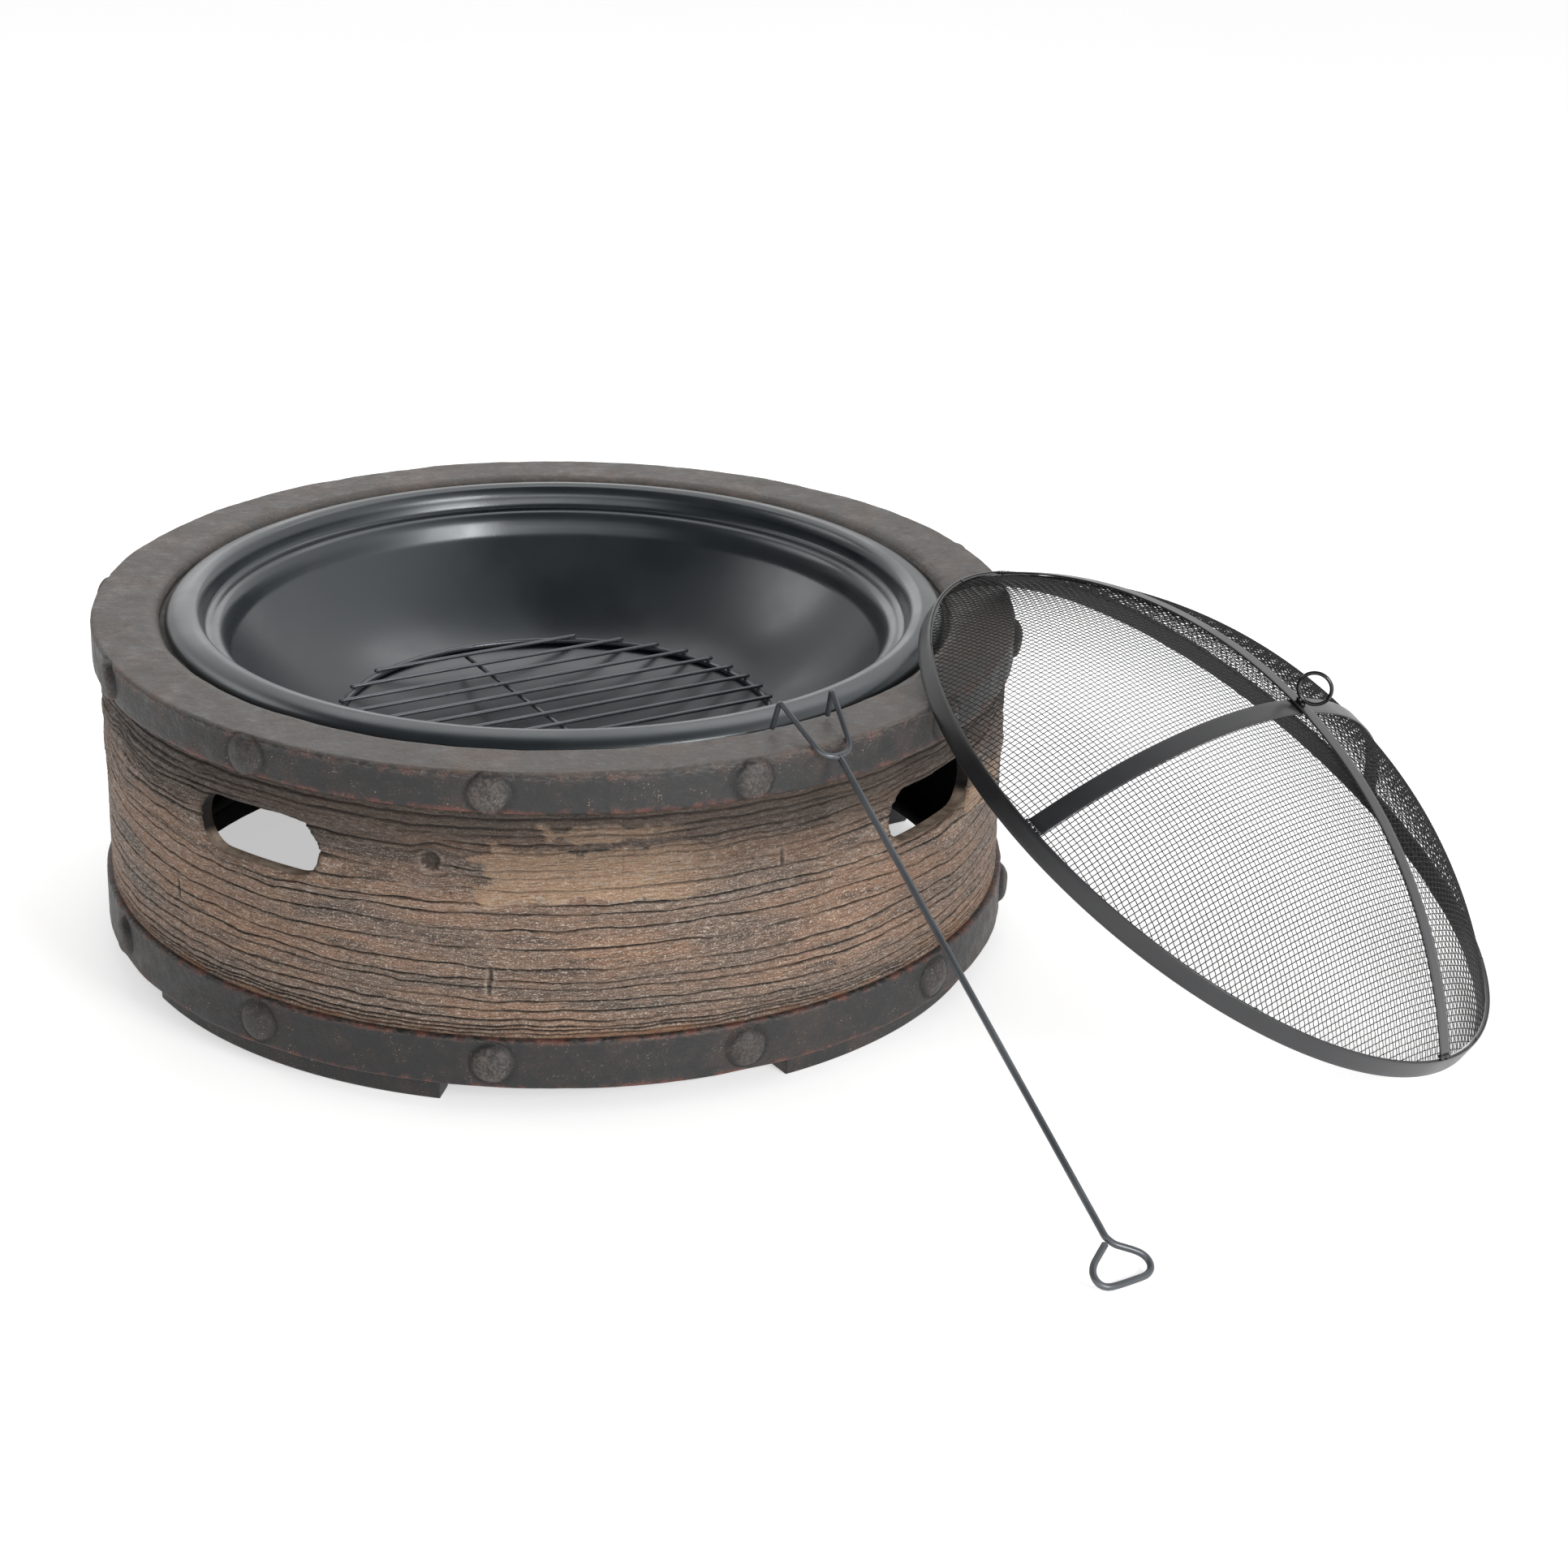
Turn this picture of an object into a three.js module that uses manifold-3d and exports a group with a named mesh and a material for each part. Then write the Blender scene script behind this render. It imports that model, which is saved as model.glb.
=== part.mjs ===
// Round fire pit with a lift-out bowl, a wire grate, a domed spark screen and a poker.
// Millimetres, +Z up.  Azimuths are measured about the pit's axis from the front (-Y)
// towards the right (+X).
import * as THREE from 'three';
import { mergeVertices } from 'three/addons/utils/BufferGeometryUtils.js';
import Module from 'manifold-3d';

const wasm = await Module();
wasm.setup();

// ---- Driving dimensions -------------------------------------------------------------

const GAP = 0.3; // left between pieces that touch

// Base: one hollow casting, modelled as collar, wall, band and feet
const COLLAR_RADIUS = 445;
const COLLAR_TOP = 327.5;
const COLLAR_SIDE = 38.5; // height of the collar's outer face
const COLLAR_EDGE = 4; // rounding of the outer top edge and bevel of the bottom edge
const COLLAR_HOLE = 380.3;
const COLLAR_DIP = [[13, 0], [6, 2.2], [2, 6], [0, 9.5]]; // outward of the hole, below the top
const LEDGE_TOP = 316; // the bowl's rim stands on this ledge inside the hole
const LEDGE_RADIUS = 348;
const COLLAR_UNDERSIDE = 304;
const WALL_RADIUS = 437;
const WALL_THICKNESS = 14;
const LIP_RADIUS = 400; // stiffening lip inside the wall's foot
const LIP_HEIGHT = 12;
const LIP_SLOPE = 4; // rise of the lip's top towards the wall
const BAND_RADIUS = 443;
const BAND_HEIGHT = 48;
const BAND_EDGE = { in: 2, down: 3 }; // bevel of the band's top edge
const FOOT_HEIGHT = 24;
const FOOT_RADIUS = 427;
const FOOT_WIDTH = 27;
const FOOT_SPAN = 47; // degrees
const QUARTER_AZIMUTH = -33.5; // of the first slot and foot, degrees; the rest follow by quarters
const SLOT_LENGTH = 138;
const SLOT_HEIGHT = 54;
const SLOT_MIDDLE = 228;
const STUD_COUNT = 12;
const STUD_RADIUS = 19;
const STUD_PROUD = 7;
const STUD_ROOT = 4; // how deep a stud's root lies in the ring
const COLLAR_STUD = 307.5; // height of the studs' middles
const BAND_STUD = 48.5;

// Bowl: pressed steel dish with a rolled rim and a step for the spark screen
const BOWL_THICKNESS = 1.8;
const BOWL_FLOOR = 172;
const DISH_RADIUS = 316;
const DISH_TOP = 288;
const DISH_POWER = 3.6; // height grows as this power of the radius
const STEP_RISER = 318; // radius of the short upright face between the dish and the step
const STEP_INNER = 322;
const STEP_OUTER = 337;
const STEP_HEIGHT = 309;
const RIM_CREST = 331;
const RIM_CREST_RADIUS = 356;
const RIM_RADIUS = 375.8;
// Points of the rolled rim: outward of the crest, below it
const RIM_ROLL = [[-15, 14], [-9, 3], [0, 0], [8, 2], [14, 4.6], [18, 8]];

// Grate
const GRATE_RADIUS = 213; // to the middle of the ring's wire
const GRATE_RING_WIRE = 3; // wire sizes are radii
const GRATE_WIRE = 2;
const GRATE_BARS = 13;
const GRATE_PITCH = 30.5;
const GRATE_OVERHANG = 5;
const GRATE_ROD_OFFSET = -10; // of the cross rod, along the bars from their middles
const GRATE_ROD_OVERHANG = 4; // of the cross rod past the outermost bars' middles
const GRATE_HEADING = 31; // degrees, bars against +X
const GRATE_HEIGHT = 204; // middle of the ring's wire

// Spark screen, leaning on the collar with its hoop on the ground
const HOOP_RADIUS = 325.8;
const HOOP_THICKNESS = 1.6;
const HOOP_WIDTH = 19;
const CLAMP_THICKNESS = 1.7;
const CLAMP_WIDTH = 9;
const DOME_RADIUS = 321.5;
const DOME_DROP = 2; // the mesh edge lies this far below the hoop's upper edge
const DOME_HEIGHT = 128.7; // above the hoop's upper edge
const DOME_THICKNESS = 1;
const STRAP_WIDTH = 19;
const STRAP_THICKNESS = 1.8;
const STRAP_END = 320.5; // radius where a strap's lower face ends
const STRAP_END_HEIGHT = 0.8;
const STRAP_AZIMUTH = 63; // degrees about the dome's axis, lower strap
const STRAP_CLEARANCE = 0.4; // of the lower strap over the dome's top
const BOSS_RADIUS = 4.5;
const BOSS_HEIGHT = 2;
const RING_RADIUS = 15.4;
const RING_WIRE = 1.9;
const SCREEN_TILT = 33;
const SCREEN_HEADING = -14.2; // degrees, the way the dome faces, against +X
const SCREEN_PLACE = { x: 631.3, y: -159.8 };

// Poker, leaning on the collar with its loop on the ground
const ROD_WIRE = 3.1;
const FORK_WIRE = 2.5;
const ROD_LENGTH = 475; // straight part
const LOOP = [ // across and along the poker, from the straight part round to the weld
  [0.8, -482.5], [4.7, -488.9], [11.5, -494], [18.5, -498.9], [24.4, -504.5], [27, -510.8],
  [26, -516.8], [21.8, -520.7], [15.5, -522.4], [3.6, -522.4], [-10, -522], [-20.5, -520.9],
  [-26.8, -517.5], [-29.4, -511.6], [-28.3, -504.9], [-23.5, -499], [-16.5, -494.3],
  [-3.7, -486.3],
];
const FORK_LENGTH = 67;
const FORK_HALF_WIDTH = 28;
const FORK_ROOT_HALF_WIDTH = 15;
const FORK_BEND = { size: 14, steps: 5 };
const TINE_LENGTH = 26;
const TINE_SET_BACK = 10;
const TINE_SPREAD = 2;
const TINE_BEND = { size: 5, steps: 4 };
const POKER_SLOPE = 37.13;
const POKER_HEADING = 35.7; // degrees
const POKER_PLACE = { x: 273.3, y: -369.3 }; // where the rod meets the fork

// Fineness of the round shapes
const ROUND = 56;
const BOWL_ROUND = 44;
const STUD_ROUND = 10;
const HANDLE_ROUND = 24;
const BOSS_ROUND = 12;
const WIRE_SIDES = 8;
const RING_SIDES = 6;
const EDGE_STEPS = 3;
const DOME_STEPS = 8;
const SLOT_STEPS = 8;
const FOOT_STEPS = 10;
const STRAP_STEPS = 24;

// ---- Materials ----------------------------------------------------------------------

const finish = (color, roughness, metalness) =>
  new THREE.MeshStandardMaterial({ color, roughness, metalness });
const castIronPaint = finish(0x46423f, 0.75, 0.1);
const weatheredWood = finish(0x7a5c49, 0.85, 0);
const bowlEnamel = finish(0x2f3337, 0.38, 0.5);
const wirePaint = finish(0x3a3e41, 0.4, 0.6);
const screenPaint = finish(0x26282a, 0.45, 0.5);
const glossPaint = finish(0x141414, 0.15, 0.4);

// ---- Helpers ------------------------------------------------------------------------

const radians = THREE.MathUtils.degToRad;

// One closed mesh with shared corners, no collapsed triangles and its faces outward.
function closed(geometry) {
  geometry.deleteAttribute('normal');
  geometry.deleteAttribute('uv');
  const merged = mergeVertices(geometry, 1e-4);
  const corners = merged.index.array;
  const place = merged.getAttribute('position');
  const kept = [];
  const [a, b, c] = [new THREE.Vector3(), new THREE.Vector3(), new THREE.Vector3()];
  let volume = 0;
  for (let i = 0; i < corners.length; i += 3) {
    const [p, q, r] = corners.slice(i, i + 3);
    if (p === q || q === r || r === p) continue;
    kept.push(p, q, r);
    a.fromBufferAttribute(place, p);
    b.fromBufferAttribute(place, q);
    c.fromBufferAttribute(place, r);
    volume += a.dot(b.cross(c));
  }
  if (volume < 0) kept.reverse();
  merged.setIndex(kept);
  return merged;
}

function toSolid(geometry) {
  const shell = closed(geometry);
  return new wasm.Manifold(new wasm.Mesh({
    numProp: 3,
    vertProperties: new Float32Array(shell.getAttribute('position').array),
    triVerts: new Uint32Array(shell.index.array),
  }));
}

function fromSolid(solid) {
  const mesh = solid.getMesh();
  const geometry = new THREE.BufferGeometry();
  geometry.setAttribute('position', new THREE.BufferAttribute(mesh.vertProperties, 3));
  geometry.setIndex(new THREE.BufferAttribute(mesh.triVerts, 1));
  return geometry;
}

// Turns an outline of [radius, height] points about the Z axis.
function turned(outline, segments = ROUND) {
  const points = outline.map(([radius, height]) => new THREE.Vector2(radius, height));
  return new THREE.LatheGeometry(points, segments).rotateX(Math.PI / 2);
}

const turnedRing = (outline, segments) => turned([...outline, outline[0]], segments);

// Points of an arc as [radius, height], angles in degrees.
function arc(radius, height, size, from, to, steps) {
  return Array.from({ length: steps + 1 }, (_, i) => {
    const angle = radians(from + ((to - from) * i) / steps);
    return [radius + size * Math.cos(angle), height + size * Math.sin(angle)];
  });
}

// The other side of a thin sheet whose first side is the given outline.
function offsetSide(side, thickness) {
  return side.map(([radius, height], i) => {
    const [r0, h0] = side[Math.max(i - 1, 0)];
    const [r1, h1] = side[Math.min(i + 1, side.length - 1)];
    const length = Math.hypot(r1 - r0, h1 - h0);
    const shift = radius === 0 ? [0, -thickness]
      : [(thickness * (h1 - h0)) / length, (-thickness * (r1 - r0)) / length];
    return [radius + shift[0], height + shift[1]];
  });
}

// A wire's middle line through given points, one extrusion step for each.
class WirePath extends THREE.Curve {
  constructor(points) {
    super();
    this.points = points;
  }

  getPoint(t, target = new THREE.Vector3()) {
    const place = t * (this.points.length - 1);
    const index = Math.min(Math.floor(place), this.points.length - 2);
    return target.lerpVectors(this.points[index], this.points[index + 1], place - index);
  }

  getPointAt(u, target) {
    return this.getPoint(u, target);
  }

  getTangentAt(u, target) {
    return this.getTangent(u, target);
  }
}

// A round wire along a middle line given as points.
function wireThrough(points, wire) {
  const section = new THREE.Shape(Array.from({ length: WIRE_SIDES }, (_, i) => {
    const angle = (2 * Math.PI * i) / WIRE_SIDES;
    return new THREE.Vector2(wire * Math.cos(angle), wire * Math.sin(angle));
  }));
  return new THREE.ExtrudeGeometry(section, {
    steps: points.length - 1,
    extrudePath: new WirePath(points),
  });
}

// Straight runs between corners, each corner rounded by its bend.
function bentLine(corners, bends) {
  const points = [corners[0]];
  for (let i = 1; i < corners.length - 1; i += 1) {
    const { size, steps } = bends[i - 1];
    const back = corners[i - 1].clone().sub(corners[i]).setLength(size).add(corners[i]);
    const ahead = corners[i + 1].clone().sub(corners[i]).setLength(size).add(corners[i]);
    points.push(...new THREE.QuadraticBezierCurve3(back, corners[i], ahead).getPoints(steps));
  }
  points.push(corners[corners.length - 1]);
  return points;
}

function piece(name, geometry, material) {
  const mesh = new THREE.Mesh(closed(geometry), material);
  mesh.name = name;
  return mesh;
}

function groupOf(...children) {
  const group = new THREE.Group();
  group.add(...children);
  return group;
}

// Moves a shape drawn along +Z so that it points out of the pit at an azimuth.
function pointOutward(geometry, azimuth, radius, height) {
  const angle = radians(azimuth);
  const across = new THREE.Vector3(Math.cos(angle), Math.sin(angle), 0);
  const up = new THREE.Vector3(0, 0, 1);
  const out = new THREE.Vector3(Math.sin(angle), -Math.cos(angle), 0);
  const place = new THREE.Matrix4().makeBasis(across, up, out);
  place.setPosition(out.x * radius, out.y * radius, height);
  return geometry.applyMatrix4(place);
}

// ---- Base ---------------------------------------------------------------------------

// Joins a ring of domed studs to a cast band.
function withStuds(geometry, radius, height) {
  const domeRadius = (STUD_RADIUS ** 2 + STUD_PROUD ** 2) / (2 * STUD_PROUD);
  const edge = THREE.MathUtils.radToDeg(Math.acos(STUD_RADIUS / domeRadius));
  const dome = arc(0, STUD_PROUD - domeRadius, domeRadius, 90, edge, EDGE_STEPS);
  const outline = [...dome, [STUD_RADIUS, -STUD_ROOT], [0, -STUD_ROOT]];
  let solid = toSolid(geometry);
  for (let i = 0; i < STUD_COUNT; i += 1) {
    const stud = turned(outline, STUD_ROUND);
    const azimuth = QUARTER_AZIMUTH + (360 / STUD_COUNT) * i;
    solid = solid.add(toSolid(pointOutward(stud, azimuth, radius, height)));
  }
  return fromSolid(solid);
}

function collar() {
  const bottom = COLLAR_TOP - COLLAR_SIDE;
  const edge = COLLAR_EDGE;
  const outline = [
    [WALL_RADIUS - WALL_THICKNESS, bottom],
    [COLLAR_RADIUS - edge, bottom],
    [COLLAR_RADIUS, bottom + edge],
    ...arc(COLLAR_RADIUS - edge, COLLAR_TOP - edge, edge, 0, 90, EDGE_STEPS),
    ...COLLAR_DIP.map(([outward, drop]) => [COLLAR_HOLE + outward, COLLAR_TOP - drop]),
    [COLLAR_HOLE, LEDGE_TOP],
    [LEDGE_RADIUS, LEDGE_TOP],
    [LEDGE_RADIUS, COLLAR_UNDERSIDE],
    [WALL_RADIUS - WALL_THICKNESS, COLLAR_UNDERSIDE],
  ];
  return piece('base_collar', withStuds(turnedRing(outline), COLLAR_RADIUS, COLLAR_STUD),
    castIronPaint);
}

function wall() {
  const inner = WALL_RADIUS - WALL_THICKNESS;
  const top = COLLAR_TOP - COLLAR_SIDE - GAP;
  const lipTop = FOOT_HEIGHT + LIP_HEIGHT;
  let solid = toSolid(turnedRing([
    [WALL_RADIUS, FOOT_HEIGHT],
    [WALL_RADIUS, top],
    [inner, top],
    [inner, lipTop + LIP_SLOPE],
    [LIP_RADIUS, lipTop],
    [LIP_RADIUS, FOOT_HEIGHT],
  ]));
  const round = SLOT_HEIGHT / 2;
  const straight = SLOT_LENGTH / 2 - round;
  const slot = new THREE.Shape();
  slot.absarc(straight, 0, round, -Math.PI / 2, Math.PI / 2, false);
  slot.absarc(-straight, 0, round, Math.PI / 2, (3 * Math.PI) / 2, false);
  for (let quarter = 0; quarter < 4; quarter += 1) {
    const cutter = new THREE.ExtrudeGeometry(slot, {
      depth: 4 * WALL_THICKNESS,
      bevelEnabled: false,
      curveSegments: SLOT_STEPS,
    });
    const azimuth = QUARTER_AZIMUTH + 90 * quarter;
    const start = WALL_RADIUS - 3 * WALL_THICKNESS;
    solid = solid.subtract(toSolid(pointOutward(cutter, azimuth, start, SLOT_MIDDLE)));
  }
  return piece('base_wall', fromSolid(solid), weatheredWood);
}

function band() {
  const top = FOOT_HEIGHT + BAND_HEIGHT;
  const outline = [
    [WALL_RADIUS + GAP, FOOT_HEIGHT],
    [BAND_RADIUS, FOOT_HEIGHT],
    [BAND_RADIUS, top - BAND_EDGE.down],
    [BAND_RADIUS - BAND_EDGE.in, top],
    [WALL_RADIUS + GAP, top],
  ];
  return piece('base_band', withStuds(turnedRing(outline), BAND_RADIUS, BAND_STUD),
    castIronPaint);
}

function foot(number) {
  const middle = radians(QUARTER_AZIMUTH + 90 * (number - 1) - 90);
  const half = radians(FOOT_SPAN / 2);
  const outline = new THREE.Shape();
  outline.absarc(0, 0, FOOT_RADIUS, middle - half, middle + half, false);
  outline.absarc(0, 0, FOOT_RADIUS - FOOT_WIDTH, middle + half, middle - half, true);
  const block = new THREE.ExtrudeGeometry(outline, {
    depth: FOOT_HEIGHT - GAP,
    bevelEnabled: false,
    curveSegments: FOOT_STEPS,
  });
  return piece(`base_foot_${number}`, block, castIronPaint);
}

const base = groupOf(collar(), wall(), band(), foot(1), foot(2), foot(3), foot(4));

// ---- Bowl ---------------------------------------------------------------------------

function fireBowl() {
  const dish = [0, 0.35, 0.55, 0.68, 0.79, 0.88, 0.95, 1].map((part) => [
    DISH_RADIUS * part,
    BOWL_FLOOR + (DISH_TOP - BOWL_FLOOR) * part ** DISH_POWER,
  ]);
  const inside = [
    ...dish,
    [STEP_RISER, (DISH_TOP + 2 * STEP_HEIGHT) / 3],
    [STEP_INNER, STEP_HEIGHT - BOWL_THICKNESS / 2],
    [STEP_OUTER, STEP_HEIGHT],
    ...RIM_ROLL.map(([outward, drop]) => [RIM_CREST_RADIUS + outward, RIM_CREST - drop]),
    [RIM_RADIUS, LEDGE_TOP + GAP],
  ];
  const underside = offsetSide(inside, BOWL_THICKNESS);
  underside[underside.length - 1] = [RIM_RADIUS - BOWL_THICKNESS, LEDGE_TOP + GAP];
  return piece('fire_bowl', turned([...inside, ...underside.reverse()], BOWL_ROUND),
    bowlEnamel);
}

const bowl = groupOf(fireBowl());

// ---- Grate --------------------------------------------------------------------------

function grateBar(number) {
  const offset = (number - (GRATE_BARS + 1) / 2) * GRATE_PITCH;
  const half = Math.sqrt(GRATE_RADIUS ** 2 - offset ** 2) + GRATE_OVERHANG;
  const bar = new THREE.CylinderGeometry(GRATE_WIRE, GRATE_WIRE, 2 * half, WIRE_SIDES);
  const name = `grate_bar_${String(number).padStart(2, '0')}`;
  const mesh = piece(name, bar.rotateZ(Math.PI / 2), wirePaint);
  mesh.position.set(0, offset, GRATE_RING_WIRE + GAP + GRATE_WIRE);
  return mesh;
}

function grateRing() {
  const ring = new THREE.TorusGeometry(GRATE_RADIUS, GRATE_RING_WIRE, RING_SIDES, BOWL_ROUND);
  return piece('grate_ring', ring, wirePaint);
}

function grateCrossRod() {
  const length = (GRATE_BARS - 1) * GRATE_PITCH + 2 * GRATE_ROD_OVERHANG;
  const rod = new THREE.CylinderGeometry(GRATE_WIRE, GRATE_WIRE, length, WIRE_SIDES);
  const mesh = piece('grate_cross_rod', rod, wirePaint);
  mesh.position.set(GRATE_ROD_OFFSET, 0, GRATE_RING_WIRE - GRATE_WIRE);
  return mesh;
}

const bars = Array.from({ length: GRATE_BARS }, (_, i) => grateBar(i + 1));
const grate = groupOf(grateRing(), grateCrossRod(), ...bars);
grate.position.z = GRATE_HEIGHT;
grate.rotation.z = radians(GRATE_HEADING);

// ---- Spark screen: drawn about its own axis, hoop's upper edge at height 0 -----------

function hoop() {
  const inner = HOOP_RADIUS - HOOP_THICKNESS;
  return piece('screen_hoop', turnedRing([
    [inner, -HOOP_WIDTH],
    [HOOP_RADIUS, -HOOP_WIDTH],
    [HOOP_RADIUS, 0],
    [inner, 0],
  ]), screenPaint);
}

function clampRing() {
  const outer = HOOP_RADIUS - HOOP_THICKNESS - GAP;
  return piece('screen_clamp_ring', turnedRing([
    [outer - CLAMP_THICKNESS, -CLAMP_WIDTH],
    [outer, -CLAMP_WIDTH],
    [outer, -GAP],
    [outer - CLAMP_THICKNESS, -GAP],
  ]), screenPaint);
}

function meshDome() {
  const rise = DOME_HEIGHT + DOME_DROP;
  const ball = (DOME_RADIUS ** 2 + rise ** 2) / (2 * rise);
  const edge = THREE.MathUtils.radToDeg(Math.acos(DOME_RADIUS / ball));
  const middle = DOME_HEIGHT - ball;
  const outside = arc(0, middle, ball, 90, edge, DOME_STEPS);
  const inside = arc(0, middle, ball - DOME_THICKNESS, edge, 90, DOME_STEPS);
  outside[0][0] = 0;
  inside[inside.length - 1][0] = 0;
  return piece('screen_mesh', turned([...outside, ...inside], BOWL_ROUND), screenPaint);
}

// A flat strap bent over the dome; its lower face is this high at the middle.
function strap(name, height, azimuth) {
  const rise = height - STRAP_END_HEIGHT;
  const bend = (STRAP_END ** 2 + rise ** 2) / (2 * rise);
  const end = Math.acos(STRAP_END / bend);
  const outline = new THREE.Shape();
  outline.absarc(0, height - bend, bend + STRAP_THICKNESS, end, Math.PI - end, false);
  outline.absarc(0, height - bend, bend, Math.PI - end, end, true);
  const geometry = new THREE.ExtrudeGeometry(outline, {
    depth: STRAP_WIDTH,
    bevelEnabled: false,
    curveSegments: STRAP_STEPS,
  });
  const mesh = piece(name, geometry.translate(0, 0, -STRAP_WIDTH / 2).rotateX(Math.PI / 2),
    screenPaint);
  mesh.rotation.z = radians(azimuth);
  return mesh;
}

const LOWER_STRAP = DOME_HEIGHT + STRAP_CLEARANCE;
const UPPER_STRAP = LOWER_STRAP + STRAP_THICKNESS + GAP;
const CROSSING_TOP = UPPER_STRAP + STRAP_THICKNESS;

function ringBoss() {
  const boss = new THREE.CylinderGeometry(BOSS_RADIUS, BOSS_RADIUS, BOSS_HEIGHT, BOSS_ROUND);
  const mesh = piece('screen_ring_boss', boss.rotateX(Math.PI / 2), glossPaint);
  mesh.position.z = CROSSING_TOP + GAP + BOSS_HEIGHT / 2;
  return mesh;
}

function ringHandle() {
  const ring = new THREE.TorusGeometry(RING_RADIUS, RING_WIRE, WIRE_SIDES, HANDLE_ROUND);
  const mesh = piece('screen_ring_handle', ring.rotateX(Math.PI / 2), glossPaint);
  mesh.position.z = CROSSING_TOP + BOSS_HEIGHT + 2 * GAP + RING_WIRE + RING_RADIUS;
  return mesh;
}

const screen = groupOf(
  hoop(),
  clampRing(),
  meshDome(),
  strap('screen_strap_lower', LOWER_STRAP, STRAP_AZIMUTH),
  strap('screen_strap_upper', UPPER_STRAP, STRAP_AZIMUTH - 90),
  ringBoss(),
  ringHandle(),
);
const tilt = radians(SCREEN_TILT);
const hoopEdgeHeight = HOOP_WIDTH * Math.cos(tilt) + HOOP_RADIUS * Math.sin(tilt);
screen.position.set(SCREEN_PLACE.x, SCREEN_PLACE.y, hoopEdgeHeight);
screen.rotation.set(0, tilt, radians(SCREEN_HEADING), 'ZYX');

// ---- Poker: drawn flat, rod along -Y, fork along +Y, tines bent down (-Z) ------------

const at = (x, y, z = 0) => new THREE.Vector3(x, y, z);

function pokerRod() {
  const points = [at(0, 0), at(0, -ROD_LENGTH), ...LOOP.map(([x, y]) => at(x, y))];
  return piece('poker_rod', wireThrough(points, ROD_WIRE), wirePaint);
}

function pokerFork() {
  const root = FORK_WIRE + GAP;
  const side = (sign) => [
    at(sign * (FORK_HALF_WIDTH + TINE_SPREAD), FORK_LENGTH - TINE_SET_BACK, -TINE_LENGTH),
    at(sign * FORK_HALF_WIDTH, FORK_LENGTH),
    at(sign * FORK_ROOT_HALF_WIDTH, root),
  ];
  const corners = [...side(-1), ...side(1).reverse()];
  const line = bentLine(corners, [TINE_BEND, FORK_BEND, FORK_BEND, TINE_BEND]);
  return piece('poker_fork', wireThrough(line, FORK_WIRE), wirePaint);
}

const poker = groupOf(pokerRod(), pokerFork());
const slope = radians(POKER_SLOPE);
const loopReach = -Math.min(...LOOP.map(([, y]) => y));
const forkRootHeight = loopReach * Math.sin(slope) + ROD_WIRE;
poker.position.set(POKER_PLACE.x, POKER_PLACE.y, forkRootHeight);
poker.rotation.set(slope, 0, radians(POKER_HEADING), 'ZYX');

// ---- Assembly, standing on the ground with its origin under the middle of its box ----

const assembly = groupOf(base, bowl, grate, screen, poker);
assembly.updateMatrixWorld(true);
const middle = new THREE.Box3().setFromObject(assembly, true).getCenter(new THREE.Vector3());
assembly.position.set(-middle.x, -middle.y, 0);

export default assembly;
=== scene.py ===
"""Round fire pit with a wood-look base, lift-out bowl, wire grate, leaning spark screen and poker.

Metres throughout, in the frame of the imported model. Azimuths are degrees about the pit's axis,
from the front (-Y) towards the right (+X).
"""
import math

import bpy
import numpy as np
from mathutils import Matrix, Vector


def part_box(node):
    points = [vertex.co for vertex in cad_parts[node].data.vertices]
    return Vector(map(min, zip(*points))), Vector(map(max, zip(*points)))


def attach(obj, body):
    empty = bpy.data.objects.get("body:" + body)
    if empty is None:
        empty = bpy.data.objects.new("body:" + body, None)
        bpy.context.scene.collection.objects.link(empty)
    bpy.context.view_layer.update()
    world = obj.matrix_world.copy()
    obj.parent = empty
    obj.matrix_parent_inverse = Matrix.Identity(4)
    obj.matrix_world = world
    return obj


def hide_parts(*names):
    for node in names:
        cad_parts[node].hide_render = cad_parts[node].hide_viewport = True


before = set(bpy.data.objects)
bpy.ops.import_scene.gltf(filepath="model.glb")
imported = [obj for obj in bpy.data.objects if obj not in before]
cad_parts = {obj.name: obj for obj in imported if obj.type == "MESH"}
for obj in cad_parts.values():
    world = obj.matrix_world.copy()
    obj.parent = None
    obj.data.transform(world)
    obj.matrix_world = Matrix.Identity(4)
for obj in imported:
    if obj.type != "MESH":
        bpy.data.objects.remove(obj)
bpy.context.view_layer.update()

MM = 0.001

# ---- Places and sizes read from the frame ----

wall_low, wall_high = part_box("base_wall")
collar_low, collar_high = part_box("base_collar")
band_low, band_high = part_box("base_band")
hoop_low, hoop_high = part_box("screen_hoop")

PIT = Vector(((wall_low.x + wall_high.x) / 2, (wall_low.y + wall_high.y) / 2, 0))
WALL_RADIUS = (wall_high.x - wall_low.x) / 2
WALL_BOTTOM = band_high.z
WALL_TOP = collar_low.z
COLLAR_TOP = collar_high.z
BAND_BOTTOM = band_low.z

# ---- Driving sizes ----

WALL_THICKNESS = 14 * MM
LIP_RADIUS = 400 * MM
LIP_TOP = 36 * MM
COLLAR_RADIUS = 445 * MM
COLLAR_HOLE = 380.3 * MM
COLLAR_EDGE = 4 * MM
COLLAR_DIP = [(13, 0), (9.5, 0.7), (6, 2.2), (3.6, 3.9), (2, 6), (0.6, 8), (0, 9.5)]
LEDGE_TOP = 316 * MM
LEDGE_RADIUS = 348 * MM
COLLAR_UNDERSIDE = 304 * MM
BAND_RADIUS = 443 * MM
FOOT_RADIUS = 427 * MM
FOOT_WIDTH = 27 * MM
FOOT_SPAN = 47
QUARTER_AZIMUTH = -33.5
SLOT_LENGTH = 138 * MM
SLOT_HEIGHT = 54 * MM
SLOT_MIDDLE = 228 * MM
STUD_SPACING = 30
STUD_RADIUS = 19 * MM
STUD_PROUD = 7 * MM
COLLAR_STUD = 307.5 * MM
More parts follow.
